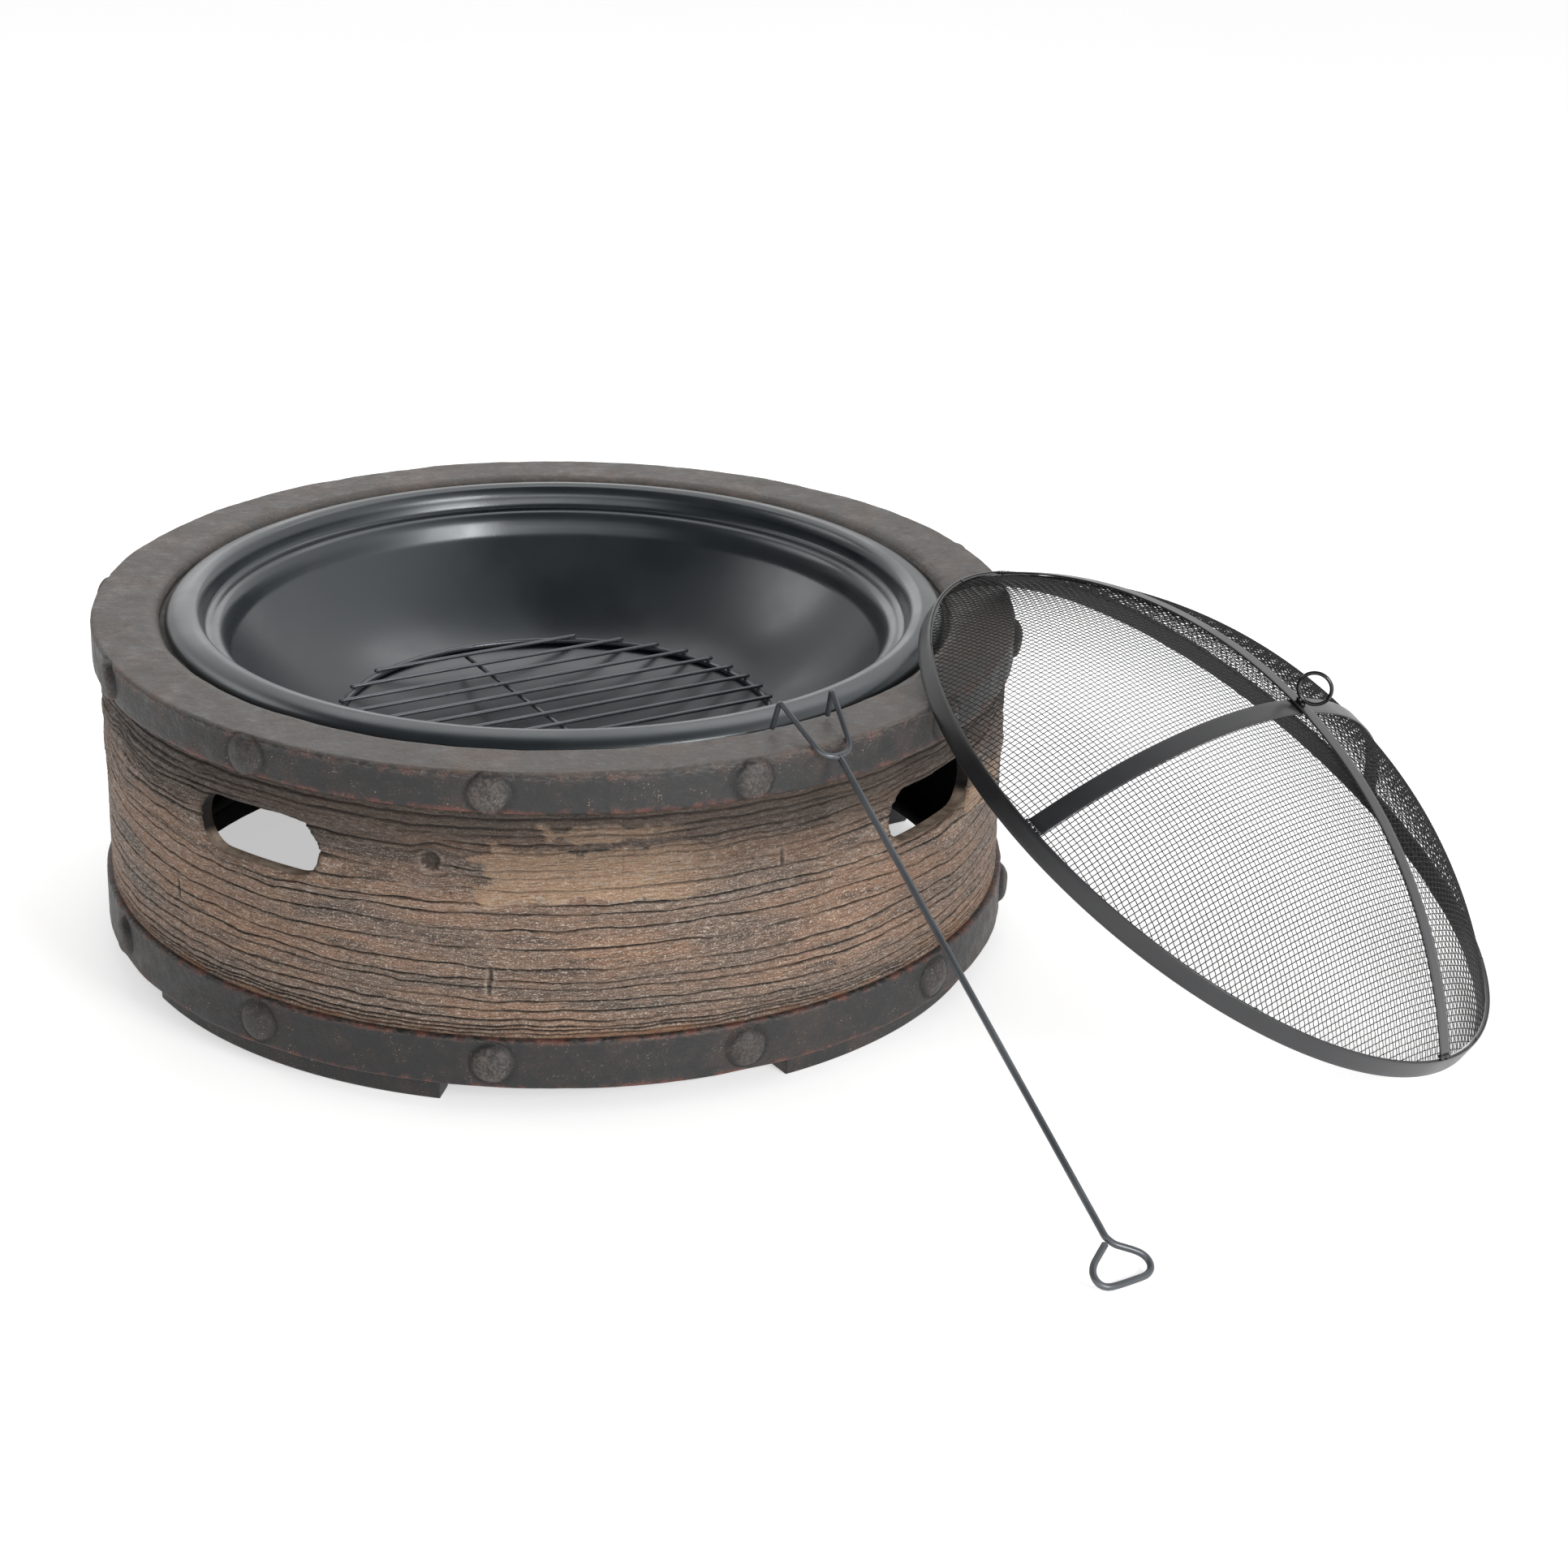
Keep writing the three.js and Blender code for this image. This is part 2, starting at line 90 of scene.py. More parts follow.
BAND_STUD = 48.5 * MM

GRATE_RADIUS = 213 * MM
GRATE_RING_WIRE = 3 * MM
GRATE_WIRE = 2 * MM
GRATE_BARS = 13
GRATE_PITCH = 30.5 * MM
GRATE_OVERHANG = 5 * MM
GRATE_ROD_OFFSET = -10 * MM
GRATE_ROD_OVERHANG = 4 * MM
GRATE_HEADING = 31
GRATE_HEIGHT = 204 * MM

HOOP_RADIUS = 325.8 * MM
HOOP_THICKNESS = 1.6 * MM
HOOP_WIDTH = 19 * MM
CLAMP_RADIUS = HOOP_RADIUS - HOOP_THICKNESS - 0.3 * MM
CLAMP_THICKNESS = 1.7 * MM
CLAMP_WIDTH = 9 * MM
DOME_RADIUS = 321.5 * MM
DOME_DROP = 2 * MM
DOME_HEIGHT = 128.7 * MM
MESH_PITCH = 4.6 * MM
MESH_WIRE = 0.43 * MM
STRAP_WIDTH = 19 * MM
STRAP_THICKNESS = 1.8 * MM
STRAP_END = 320.5 * MM
STRAP_END_HEIGHT = 0.8 * MM
STRAP_AZIMUTH = 63
LOWER_STRAP = 129.1 * MM
UPPER_STRAP = 131.2 * MM
CROSSING_TOP = 133 * MM
RING_RADIUS = 15.4 * MM
RING_WIRE = 1.9 * MM
SCREEN_TILT = 33
SCREEN_HEADING = -14.2

ROD_WIRE = 3.1 * MM
FORK_WIRE = 2.5 * MM
ROD_LENGTH = 475 * MM
LOOP = [
    (0, -479), (0.8, -482.5), (4.7, -488.9), (11.5, -494), (18.5, -498.9), (24.4, -504.5), (27, -510.8),
    (26, -516.8), (21.8, -520.7), (15.5, -522.4), (3.6, -522.4), (-10, -522), (-20.5, -520.9),
    (-26.8, -517.5), (-29.4, -511.6), (-28.3, -504.9), (-23.5, -499), (-16.5, -494.3), (-4.1, -486.6),
]
FORK_LENGTH = 67 * MM
FORK_HALF_WIDTH = 28 * MM
FORK_ROOT_HALF_WIDTH = 15 * MM
TINE_LENGTH = 26 * MM
TINE_SET_BACK = 10 * MM
POKER_SLOPE = 37.13
POKER_HEADING = 35.7
POKER_PLACE = Vector((273.3, -369.3, 522.4 * math.sin(math.radians(POKER_SLOPE)) + 3.1)) * MM

# ---- Small tools ----


def smooth_step(low, high, value):
    t = np.clip((value - low) / (high - low), 0, 1)
    return t * t * (3 - 2 * t)


def ripple(u, v, seed, repeat=512):
    """Smooth random waves from -1 to 1, one per unit of u and v. They repeat after `repeat` units of u."""
    table = np.random.RandomState(seed).uniform(-1, 1, (64, repeat))
    u, v = np.broadcast_arrays(np.asarray(u, float), np.asarray(v, float))
    column, row = np.floor(u).astype(int), np.floor(v).astype(int)
    across, up = u - column, v - row
    across, up = across * across * (3 - 2 * across), up * up * (3 - 2 * up)
    corner = [[table[(row + j) % 64, (column + i) % repeat] for i in (0, 1)] for j in (0, 1)]
    low = corner[0][0] * (1 - across) + corner[0][1] * across
    high = corner[1][0] * (1 - across) + corner[1][1] * across
    return low * (1 - up) + high * up


def rough(u, v, seed, octaves=3, repeat=512):
    """Ripples on ripples, each half the size of the last."""
    total = 0
    for i in range(octaves):
        total = total + ripple(u * 2**i, v * 2**i, seed + i, repeat * 2**i) / 2**i
    return total / (2 - 2.0 ** (1 - octaves))


def new_object(name, points, faces, shader, smooth=True):
    mesh = bpy.data.meshes.new(name)
    mesh.from_pydata(np.asarray(points).tolist(), [], [list(f) for f in faces])
    mesh.polygons.foreach_set("use_smooth", [smooth] * len(mesh.polygons))
    mesh.materials.append(shader)
    mesh.update()
    piece = bpy.data.objects.new(name, mesh)
    bpy.context.scene.collection.objects.link(piece)
    return piece


def set_field(piece, name, values):
    """Stores one number or one vector for each corner point, for the shader to read."""
    values = np.asarray(values, np.float32)
    kind, key = ("FLOAT", "value") if values.ndim == 1 else ("FLOAT_VECTOR", "vector")
    piece.data.attributes.new(name, kind, "POINT").data.foreach_set(key, values.ravel())


def grid_faces(rows, columns, close_rows=False, close_columns=False, first=0):
    """Four-sided faces of a grid of points stored row by row."""
    last = (rows if close_rows else rows - 1, columns if close_columns else columns - 1)
    row, column = np.meshgrid(np.arange(last[0]), np.arange(last[1]), indexing="ij")
    up, right = (row + 1) % rows, (column + 1) % columns
    corners = [(row, column), (row, right), (up, right), (up, column)]
    return first + np.stack([(a * columns + b).ravel() for a, b in corners], axis=1)


def stacked(*parts):
    """Numbers or arrays put side by side, along a new last direction."""
    return np.stack(np.broadcast_arrays(*parts), axis=-1)


def bell(value, middle, width):
    return np.exp(-(((value - middle) / width) ** 2))


def around_pit(azimuth, radius, height):
    """Points at azimuths in degrees, as an array that ends in x, y, z."""
    angle = np.radians(azimuth)
    return stacked(PIT.x + radius * np.sin(angle), PIT.y - radius * np.cos(angle), height)


def turned(degrees, axis="Z"):
    return Matrix.Rotation(math.radians(degrees), 4, axis)


def dense(outline, step, closed=True):
    """Adds points to an outline so that none are further apart than the step; an open one loses its end."""
    points = []
    for a, b in zip(outline, outline[1:] + (outline[:1] if closed else [])):
        count = max(1, math.ceil(math.dist(a, b) / step))
        points += [np.array(a) + np.subtract(b, a) * i / count for i in range(count)]
    return points


def arc(radius, height, size, start, end, steps):
    """Points of an arc as [radius, height], angles in degrees."""
    angles = np.radians(np.linspace(start, end, steps + 1))
    return [[radius + size * math.cos(a), height + size * math.sin(a)] for a in angles]


def darken(piece, chosen):
    """Gives the chosen faces the near-black painted shade of the inside."""
    piece.data.materials.append(INSIDE_SHADE)
    piece.data.polygons.foreach_set("material_index", np.array(chosen, np.int32))


def place(piece, body, node_names):
    """Attaches the piece to its body and hides the CAD parts that it stands for."""
    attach(piece, body)
    if node_names:
        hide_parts(*node_names)


# ---- Sweeping a section along a path ----


def circle_section(radius, sides):
    angles = np.arange(sides) * 2 * math.pi / sides
    return stacked(radius * np.cos(angles), radius * np.sin(angles))


def strip_section(width, thickness, edge):
    """A flat bar's section with rounded corners: width across, thickness up."""
    points = []
    for turn, (x, y) in enumerate([(1, 1), (-1, 1), (-1, -1), (1, -1)]):
        middle = np.array([x * (width / 2 - edge), y * (thickness / 2 - edge)])
        for step in range(4):
            angle = math.radians(90 * turn + 30 * step)
            points.append(middle + edge * np.array([math.cos(angle), math.sin(angle)]))
        if turn in (0, 2):
            points += [np.array([x * width * part, y * thickness / 2]) for part in (0.25, -0.25)]
    return np.array(points)


def path_frames(path, normal, closed):
    """Along, across and up directions at each point; the normal is carried along the path."""
    ahead, behind = np.roll(path, -1, axis=0), np.roll(path, 1, axis=0)
    along = ahead - behind if closed else np.gradient(path, axis=0)
    along /= np.linalg.norm(along, axis=1)[:, None]
    up = np.empty_like(path)
    last = np.asarray(normal, float)
    for i, direction in enumerate(along):
        last = last - direction * (last @ direction)
        last = last / np.linalg.norm(last)
        up[i] = last
    return along, np.cross(along, up), up


def swept_mesh(path, section, normal=(0, 0, 1), closed=False, end_round=0.0):
    """Points and faces of a section carried along a path, with rounded or flat ends."""
    path = np.asarray(path, float)
    along, across, up = path_frames(path, normal, closed)

    def ring(i, size=1.0, push=0.0):
        flat = section * size
        return path[i] + along[i] * push + flat[:, :1] * across[i] + flat[:, 1:] * up[i]

    rings = [ring(i) for i in range(len(path))]
    if not closed and end_round:
        for index, sign in ((0, -1), (-1, 1)):
            turns = [math.radians(turn) for turn in (35, 65, 82)]
            extra = [ring(index, math.cos(turn), sign * end_round * math.sin(turn)) for turn in turns]
            rings = extra[::-1] + rings if index == 0 else rings + extra
    sides = len(section)
    faces = grid_faces(len(rings), sides, close_rows=closed, close_columns=True).tolist()
    if not closed:
        last = (len(rings) - 1) * sides
        faces += [list(range(sides))[::-1], list(range(last, last + sides))]
    return np.concatenate(rings), faces


def joined(parts):
    """Several (points, faces) as one."""
    faces, first = [], 0
    for part_points, part_faces in parts:
        faces += [[first + i for i in face] for face in part_faces]
        first += len(part_points)
    return np.concatenate([points for points, _ in parts]), faces


def moved(part, matrix):
    points, faces = part
    turn = np.array(matrix.to_3x3())
    return points @ turn.T + np.array(matrix.translation), faces


def blob(radii, seed, uneven):
    """A lumpy bead of weld, about the origin."""
    rows, columns = 9, 14
    tilt = np.linspace(0, math.pi, rows)[:, None]
    turn = np.arange(columns)[None, :] * 2 * math.pi / columns
    shape = stacked(np.sin(tilt) * np.cos(turn), np.sin(tilt) * np.sin(turn), np.cos(tilt))
    lumps = 1 + uneven * ripple(turn / math.pi * 4, tilt * 3, seed, 8)
    lumps[0], lumps[-1] = lumps[0].mean(), lumps[-1].mean()
    points = (shape * lumps[..., None] * np.array(radii)).reshape(-1, 3)
    keep = points[columns - 1 : -columns + 1]
    faces = grid_faces(rows, columns, close_columns=True) - (columns - 1)
    clean = [list(dict.fromkeys(face)) for face in np.clip(faces, 0, len(keep) - 1).tolist()]
    return keep, [face for face in clean if len(face) > 2]


# ---- Shader building ----


def srgb(red, green, blue):
    """A colour as seen on a screen, 0 to 255, in the linear numbers that shaders take."""
    parts = [c / 255 for c in (red, green, blue)]
    return [c / 12.92 if c < 0.04045 else ((c + 0.055) / 1.055) ** 2.4 for c in parts] + [1]


class Paint:
    """A material being built; each method adds a node and returns its output."""

    def __init__(self, name, roughness, metallic=0.0, specular=0.5):
        self.material = bpy.data.materials.new(name)
        self.material.use_nodes = True
        self.tree = self.material.node_tree
        self.surface = self.tree.nodes["Principled BSDF"]
        self.surface.inputs["Metallic"].default_value = metallic
        self.surface.inputs["Roughness"].default_value = roughness
        self.surface.inputs["Specular IOR Level"].default_value = specular

    def put(self, socket, value):
        if isinstance(value, bpy.types.NodeSocket):
            self.tree.links.new(value, socket)
        else:
            socket.default_value = value

    def places(self):
        return self.tree.nodes.new("ShaderNodeTexCoord").outputs["Object"]

    def field(self, name, output="Fac"):
        node = self.tree.nodes.new("ShaderNodeAttribute")
        node.attribute_name = name
        return node.outputs[output]

    def height(self):
        node = self.tree.nodes.new("ShaderNodeSeparateXYZ")
        self.put(node.inputs[0], self.places())
        return node.outputs[2]

    def noise(self, vector, scale, detail=4.0, roughness=0.55, distortion=0.0):
        """Noise with so many waves to the metre, or with its own number each way."""
        if isinstance(scale, tuple):
            stretch = self.tree.nodes.new("ShaderNodeVectorMath")
            stretch.operation = "MULTIPLY"
            self.put(stretch.inputs[0], vector)
            stretch.inputs[1].default_value = scale
            vector, scale = stretch.outputs[0], 1.0
        node = self.tree.nodes.new("ShaderNodeTexNoise")
        self.put(node.inputs["Vector"], vector)
        node.inputs["Scale"].default_value = scale
        node.inputs["Detail"].default_value = detail
        node.inputs["Roughness"].default_value = roughness
        node.inputs["Distortion"].default_value = distortion
        return node.outputs["Fac"]

    def math(self, operation, first, second=0.0):
        node = self.tree.nodes.new("ShaderNodeMath")
        node.operation = operation
        self.put(node.inputs[0], first)
        self.put(node.inputs[1], second)
        return node.outputs[0]

    def times(self, first, second):
        return self.math("MULTIPLY", first, second)

    def ramp(self, value, low, high, start=0.0, end=1.0):
        node = self.tree.nodes.new("ShaderNodeMapRange")
        node.interpolation_type = "SMOOTHSTEP"
        self.put(node.inputs["Value"], value)
        for socket, number in zip(("From Min", "From Max", "To Min", "To Max"), (low, high, start, end)):
            node.inputs[socket].default_value = number
        return node.outputs["Result"]

    def blend(self, share, first, second):
        node = self.tree.nodes.new("ShaderNodeMix")
        node.data_type = "RGBA"
        self.put(node.inputs["Factor"], share)
        self.put(node.inputs[6], first)
        self.put(node.inputs[7], second)
        return node.outputs[2]

    def cloudy(self, share, first, second):
        """Starts the colour anew as a blend of two."""
        self.colour = self.blend(share, srgb(*first), srgb(*second))

    def lay(self, share, *colour):
        """Lays a share of another colour over the colour so far."""
        self.colour = self.blend(share, self.colour, srgb(*colour))

    def bump(self, height, distance, strength=1.0, under=None):
        node = self.tree.nodes.new("ShaderNodeBump")
        node.inputs["Strength"].default_value = strength
        node.inputs["Distance"].default_value = distance
        self.put(node.inputs["Height"], height)
        if under is not None:
            self.put(node.inputs["Normal"], under)
        return node.outputs["Normal"]

    def finish(self, **inputs):
        self.put(self.surface.inputs["Base Color"], self.colour)
        for socket, value in inputs.items():
            self.put(self.surface.inputs[socket.capitalize()], value)
        return self.material


# ---- Materials ----


def wood_shader():
    """Cast stone stained like old planks: long fibres, pale worn tips, and painted shade in its cracks,
    holes and nicks.
    """
    paint = Paint("weathered_wood", roughness=0.7, specular=0.45)
    grain = paint.field("grain", "Vector")
    peel = paint.field("peel")
    height = paint.height()

    broad = paint.noise(grain, (4, 18, 1), detail=3)
    stain = paint.noise(grain, (9, 55, 3), detail=5, roughness=0.6)
    fibres = paint.noise(grain, (40, 900, 1), detail=4, roughness=0.6)
    threads = paint.noise(grain, (120, 560, 5), detail=5, roughness=0.75, distortion=0.4)
    specks = paint.noise(grain, (480, 760, 9), detail=2, roughness=0.7)
    blotches = paint.noise(grain, (24, 60, 2), detail=5, roughness=0.65)

    paint.cloudy(paint.ramp(broad, 0.38, 0.62), (126, 107, 95), (160, 123, 98))
    paint.lay(paint.ramp(stain, 0.5, 0.66, 0, 0.75), 78, 69, 64)
    paint.lay(paint.ramp(blotches, 0.52, 0.7, 0, 0.45), 168, 130, 101)
    paint.lay(paint.times(peel, 0.85), 194, 157, 124)
    dull = paint.math("SUBTRACT", 1.0, paint.times(peel, 0.3))
    paint.lay(paint.times(paint.ramp(fibres, 0.52, 0.63, 0, 0.72), dull), 58, 48, 42)
    pits = paint.times(paint.ramp(threads, 0.46, 0.36), paint.ramp(specks, 0.5, 0.42))
    paint.lay(paint.times(pits, 0.8), 52, 43, 38)
    pale = paint.times(paint.ramp(threads, 0.49, 0.58), paint.ramp(specks, 0.49, 0.56))
    paint.lay(paint.times(pale, 0.9), 222, 207, 190)
    paint.lay(paint.ramp(specks, 0.59, 0.65, 0, 0.65), 202, 188, 172)
    rim = paint.times(paint.field("rim"), paint.ramp(threads, 0.38, 0.56, 0.35, 0.95))
    paint.lay(rim, 205, 190, 174)
    # Painted shade in the holes and nicks and round the hand slots' edges.
    paint.lay(paint.field("hollow_shade"), 58, 49, 43)
    # Painted shade: near-black laid into the cracks' grooves, strongest where they are deepest.
    paint.lay(paint.field("crack"), 20, 17, 15)
    low = paint.ramp(height, WALL_BOTTOM + 7 * MM, WALL_BOTTOM + 1 * MM)
    rust = paint.times(low, paint.ramp(blotches, 0.42, 0.6))
    paint.lay(paint.times(rust, 0.6), 146, 100, 66)
    shade = paint.ramp(height, WALL_TOP - 105 * MM, WALL_TOP - 6 * MM, 0, 0.85)
    paint.lay(paint.times(shade, dull), 56, 48, 43)

    relief = paint.math("SUBTRACT", threads, paint.times(fibres, 0.8))
    normal = paint.bump(relief, 3.2 * MM)
    normal = paint.bump(specks, 1.0 * MM, under=normal)
    return paint.finish(roughness=paint.ramp(threads, 0.38, 0.62, 0.8, 0.46), normal=normal)


def cast_shader():
    """Cast stone painted like hammered iron, worn brown, with rusty traces at its edges, a lighter copy of
    the paint on the collar's top as painted light, and painted shade round the studs.
    """
    paint = Paint("hammered_iron_paint", roughness=0.55)
    spot = paint.places()
    edge = paint.field("edge")

    mottle = paint.noise(spot, 60, detail=6, roughness=0.7)
    fine = paint.noise(spot, 320, detail=4, roughness=0.65)
    patches = paint.noise(spot, 16, detail=6, roughness=0.65)
    strokes = paint.noise(spot, (150, 150, 500), detail=4, roughness=0.6, distortion=0.6)
    chips = paint.noise(spot, 620, detail=2, roughness=0.7)

    paint.cloudy(paint.ramp(mottle, 0.4, 0.62), (26, 27, 28), (42, 39, 37))
    paint.lay(paint.ramp(patches, 0.5, 0.66, 0, 0.6), 56, 47, 42)
    side = paint.colour
    # A lighter copy of the paint for the up-facing top: painted light on it, against the darker side.
    paint.cloudy(paint.ramp(mottle, 0.4, 0.6), (74, 71, 68), (88, 82, 77))
    paint.lay(paint.ramp(patches, 0.48, 0.62, 0, 0.6), 101, 87, 78)
    paint.lay(paint.ramp(strokes, 0.56, 0.7, 0, 0.4), 122, 113, 104)
    paint.colour = paint.blend(paint.field("top"), side, paint.colour)
    paint.lay(paint.ramp(fine, 0.54, 0.68, 0, 0.35), 46, 43, 41)
    worn = paint.times(edge, paint.ramp(strokes, 0.46, 0.6))
    paint.lay(paint.times(worn, 0.3), 118, 108, 101)
    blush = paint.times(edge, paint.ramp(mottle, 0.5, 0.62))
    paint.lay(paint.times(blush, 0.4), 104, 64, 54)
    rust = paint.times(paint.field("low_edge"), paint.ramp(mottle, 0.44, 0.6))
    paint.lay(paint.times(rust, 0.6), 116, 62, 50)
    # Lighter crown on each stud: scuffed paint and a painted highlight on the dome's top.
    crown = paint.times(paint.field("crown"), paint.ramp(fine, 0.42, 0.6, 0.15, 1.0))
    paint.lay(crown, 118, 108, 101)
    # Painted shade: a dark ring round each stud's foot.
    paint.lay(paint.times(paint.field("moat"), 0.75), 17, 15, 14)
    flecks = paint.times(paint.ramp(chips, 0.63, 0.7), paint.ramp(patches, 0.45, 0.6))
    paint.lay(paint.times(flecks, 0.7), 124, 70, 56)
    glints = paint.times(paint.ramp(chips, 0.38, 0.32), paint.ramp(mottle, 0.5, 0.6))
    paint.lay(paint.times(glints, 0.6), 165, 158, 150)

    normal = paint.bump(mottle, 2.6 * MM, 0.7)
    normal = paint.bump(strokes, 0.9 * MM, 0.6, under=normal)
    return paint.finish(roughness=paint.ramp(mottle, 0.3, 0.7, 0.42, 0.66), normal=normal)


def inside_shade_shader():
    """Near-black painted shade for the underside and inside of the casting, the feet and the bowl."""
    paint = Paint("inside_painted_shade", roughness=1.0, specular=0.05)
    coarse = paint.noise(paint.places(), 60, detail=6, roughness=0.6)
    paint.cloudy(paint.ramp(coarse, 0.35, 0.65), (8, 8, 7), (15, 14, 13))
    return paint.finish(normal=paint.bump(coarse, 2 * MM, 0.6))


def steel_paint(name, dark, light, roughness, specular=0.5, metallic=0.0, grit=0.12, tint=(1, 1, 1, 1)):
    """Satin paint on steel: faint orange peel, a little uneven in gloss and tone."""
    paint = Paint(name, roughness, metallic, specular)
    paint.surface.inputs["Specular Tint"].default_value = tint
    spot = paint.places()
    cloud = paint.noise(spot, 9)
    peel = paint.noise(spot, 420, detail=3, roughness=0.5)
    paint.cloudy(paint.ramp(cloud, 0.35, 0.65), dark, light)
    gloss = paint.ramp(cloud, 0.3, 0.7, roughness - 0.05, roughness + 0.07)
    return paint.finish(roughness=gloss, normal=paint.bump(peel, 0.25 * MM, grit))


def slot_edge_shader():
    """The cut edge of a hand slot: dark with painted shade, and the colour of the wood along its sill."""
    paint = Paint("slot_edge", roughness=0.8, specular=0.2)
    cloud = paint.noise(paint.places(), 90)
    patchy = paint.ramp(cloud, 0.35, 0.65)
    # Painted shade on the slot's cut faces, giving way to wood colour low down.
    paint.cloudy(patchy, (24, 21, 20), (38, 34, 31))
    dark = paint.colour
    paint.cloudy(patchy, (128, 112, 98), (168, 150, 133))
    above, below = SLOT_MIDDLE - 0.22 * SLOT_HEIGHT, SLOT_MIDDLE - 0.42 * SLOT_HEIGHT
    paint.colour = paint.blend(paint.ramp(paint.height(), above, below), dark, paint.colour)
    return paint.finish(normal=paint.bump(cloud, 0.5 * MM, 0.4))


WOOD = wood_shader()
CAST = cast_shader()
INSIDE_SHADE = inside_shade_shader()
COOL = (0.94, 0.98, 1, 1)
ENAMEL = steel_paint("bowl_enamel", (7, 17, 23), (13, 23, 29), 0.31, 1.0, tint=COOL)
SLOT_EDGE = slot_edge_shader()
GRATE_PAINT = steel_paint("grate_paint", (94, 97, 101), (112, 115, 119), 0.3, 0.7, metallic=0.6)
SCREEN_PAINT = steel_paint("screen_paint", (17, 18, 21), (27, 28, 31), 0.3, 0.75)
MESH_PAINT = steel_paint("mesh_wire_paint", (17, 17, 18), (27, 27, 28), 0.5, 0.3)
GLOSS_PAINT = steel_paint("ring_gloss", (8, 8, 9), (13, 13, 14), 0.16, 0.6, grit=0.04)
POKER_PAINT = steel_paint("poker_paint", (74, 77, 81), (92, 95, 99), 0.32, 0.7, metallic=0.45)

# ---- Wall: planks with cracks, a peeled patch, knots and nicks ----

COLUMN_STEP = 1.7 * MM
CRACK_OFFSETS = (-1.4 * MM, -0.6 * MM, 0, 0.6 * MM, 1.4 * MM)
CRACK_DEPTH = 2.4 * MM
AROUND = 2 * math.pi * WALL_RADIUS

# Knots that the grain flows round: azimuth, height, push, reach along and reach up
KNOTS = [
    (-62, 236, 11, 34, 26),
    (-10.4, 238, 8, 16, 20),
    (62, 190, 7, 30, 26),
    (118, 215, 10, 34, 28),
    (171, 150, 9, 30, 28),
    (214, 240, 9, 26, 24),
    (262, 130, 8, 34, 26),
]
# Peeled places: azimuth of both ends, lower and upper height, how proud
PEELS = [
    (-4.5, 28, 203, 254, 1.7),
    (1.5, 22, 262, 272, 1.2),
    (64, 83, 188, 214, 1.3),
    (96, 112, 232, 262, 1.5),
    (150, 196, 168, 206, 1.7),
    (222, 249, 190, 226, 1.5),
    (268, 284, 214, 250, 1.4),
]
# Small round holes: azimuth, height, radius, depth
HOLES = [(-10.4, 238, 9, 3.2), (-18.5, 229, 6, 0.5), (126, 150, 8, 3), (205, 232, 9, 3), (287, 190, 7, 2)]
# Upright nicks: azimuth, middle height, length
NICKS = [(-3.7, 126, 32), (31, 226, 20), (-48, 143, 22), (88, 120, 26), (140, 238, 24), (236, 128, 30)]


def crack_levels():
    """Heights of the long cracks: close together under the collar and over the band."""
    chance = np.random.RandomState(11)
    level = WALL_BOTTOM + 3.5 * MM
    levels = []
    while level < WALL_TOP - 3 * MM:
        levels.append(level)
        edge_distance = min(level - WALL_BOTTOM, WALL_TOP - level)
        usual = 5.5 * MM + 8 * MM * smooth_step(0.004, 0.04, edge_distance)
        usual -= 4 * MM * smooth_step(0.19, 0.22, level) * smooth_step(0.004, 0.04, edge_distance)
        level += usual * chance.uniform(0.6, 1.4)
    return levels


CRACKS = crack_levels()


def row_levels():
    """Levels of the wall's rows of points: five at each crack and about one in 2 mm between."""
    levels = {WALL_BOTTOM, WALL_TOP}
    stops = [WALL_BOTTOM] + CRACKS + [WALL_TOP]
    reach = CRACK_OFFSETS[-1]
    for low, high in zip(stops, stops[1:]):
        start = low + (reach if low in CRACKS else 0)
        end = high - (reach if high in CRACKS else 0)
        count = max(2, round((end - start) / (2.0 * MM)) + 1)
        levels.update(np.linspace(start, end, count)[(1 if low == start else 0):])
    levels.update(crack + offset for crack in CRACKS for offset in CRACK_OFFSETS)
    return np.array(sorted(x for x in levels if WALL_BOTTOM <= x <= WALL_TOP))


def arc_from(azimuth, other):
    """Signed distance along the wall between two azimuths in degrees."""
    return np.radians((azimuth - other + 180) % 360 - 180) * WALL_RADIUS


def flow(azimuth, level):
    """How far the grain at a level is carried up or down, at each azimuth."""
    along = azimuth / 360
    inside = smooth_step(WALL_BOTTOM, WALL_BOTTOM + 0.03, level)
    inside = inside * smooth_step(WALL_TOP, WALL_TOP - 0.03, level)
    drift = 0
    for size, around, rise, seed in (
        (7.5 * inside, 9, 0.09, 3),
        (2.2 * inside, 34, 0.035, 4),
        (1.3, 80, 0.016, 7),
        (0.9, 150, 0.011, 5),
        (0.3, 520, 0.008, 6),
    ):
        drift = drift + size * MM * ripple(along * around, level / rise, seed, around)
    slots = [(QUARTER_AZIMUTH + 90 * k, SLOT_MIDDLE / MM, 12, 92, 34) for k in range(4)]
    for middle, height, push, reach_along, reach_up in KNOTS + slots:
        away = arc_from(azimuth, middle) / (reach_along * MM)
        rise = (level - height * MM) / MM
        bulge = push * MM * np.tanh(rise / 7) * np.exp(-np.abs(rise) / reach_up)
        drift = drift + bulge * np.exp(-away * away) * inside
    edge = smooth_step(WALL_BOTTOM, WALL_BOTTOM + 4 * MM, level)
    return drift * edge * smooth_step(WALL_TOP, WALL_TOP - 4 * MM, level)


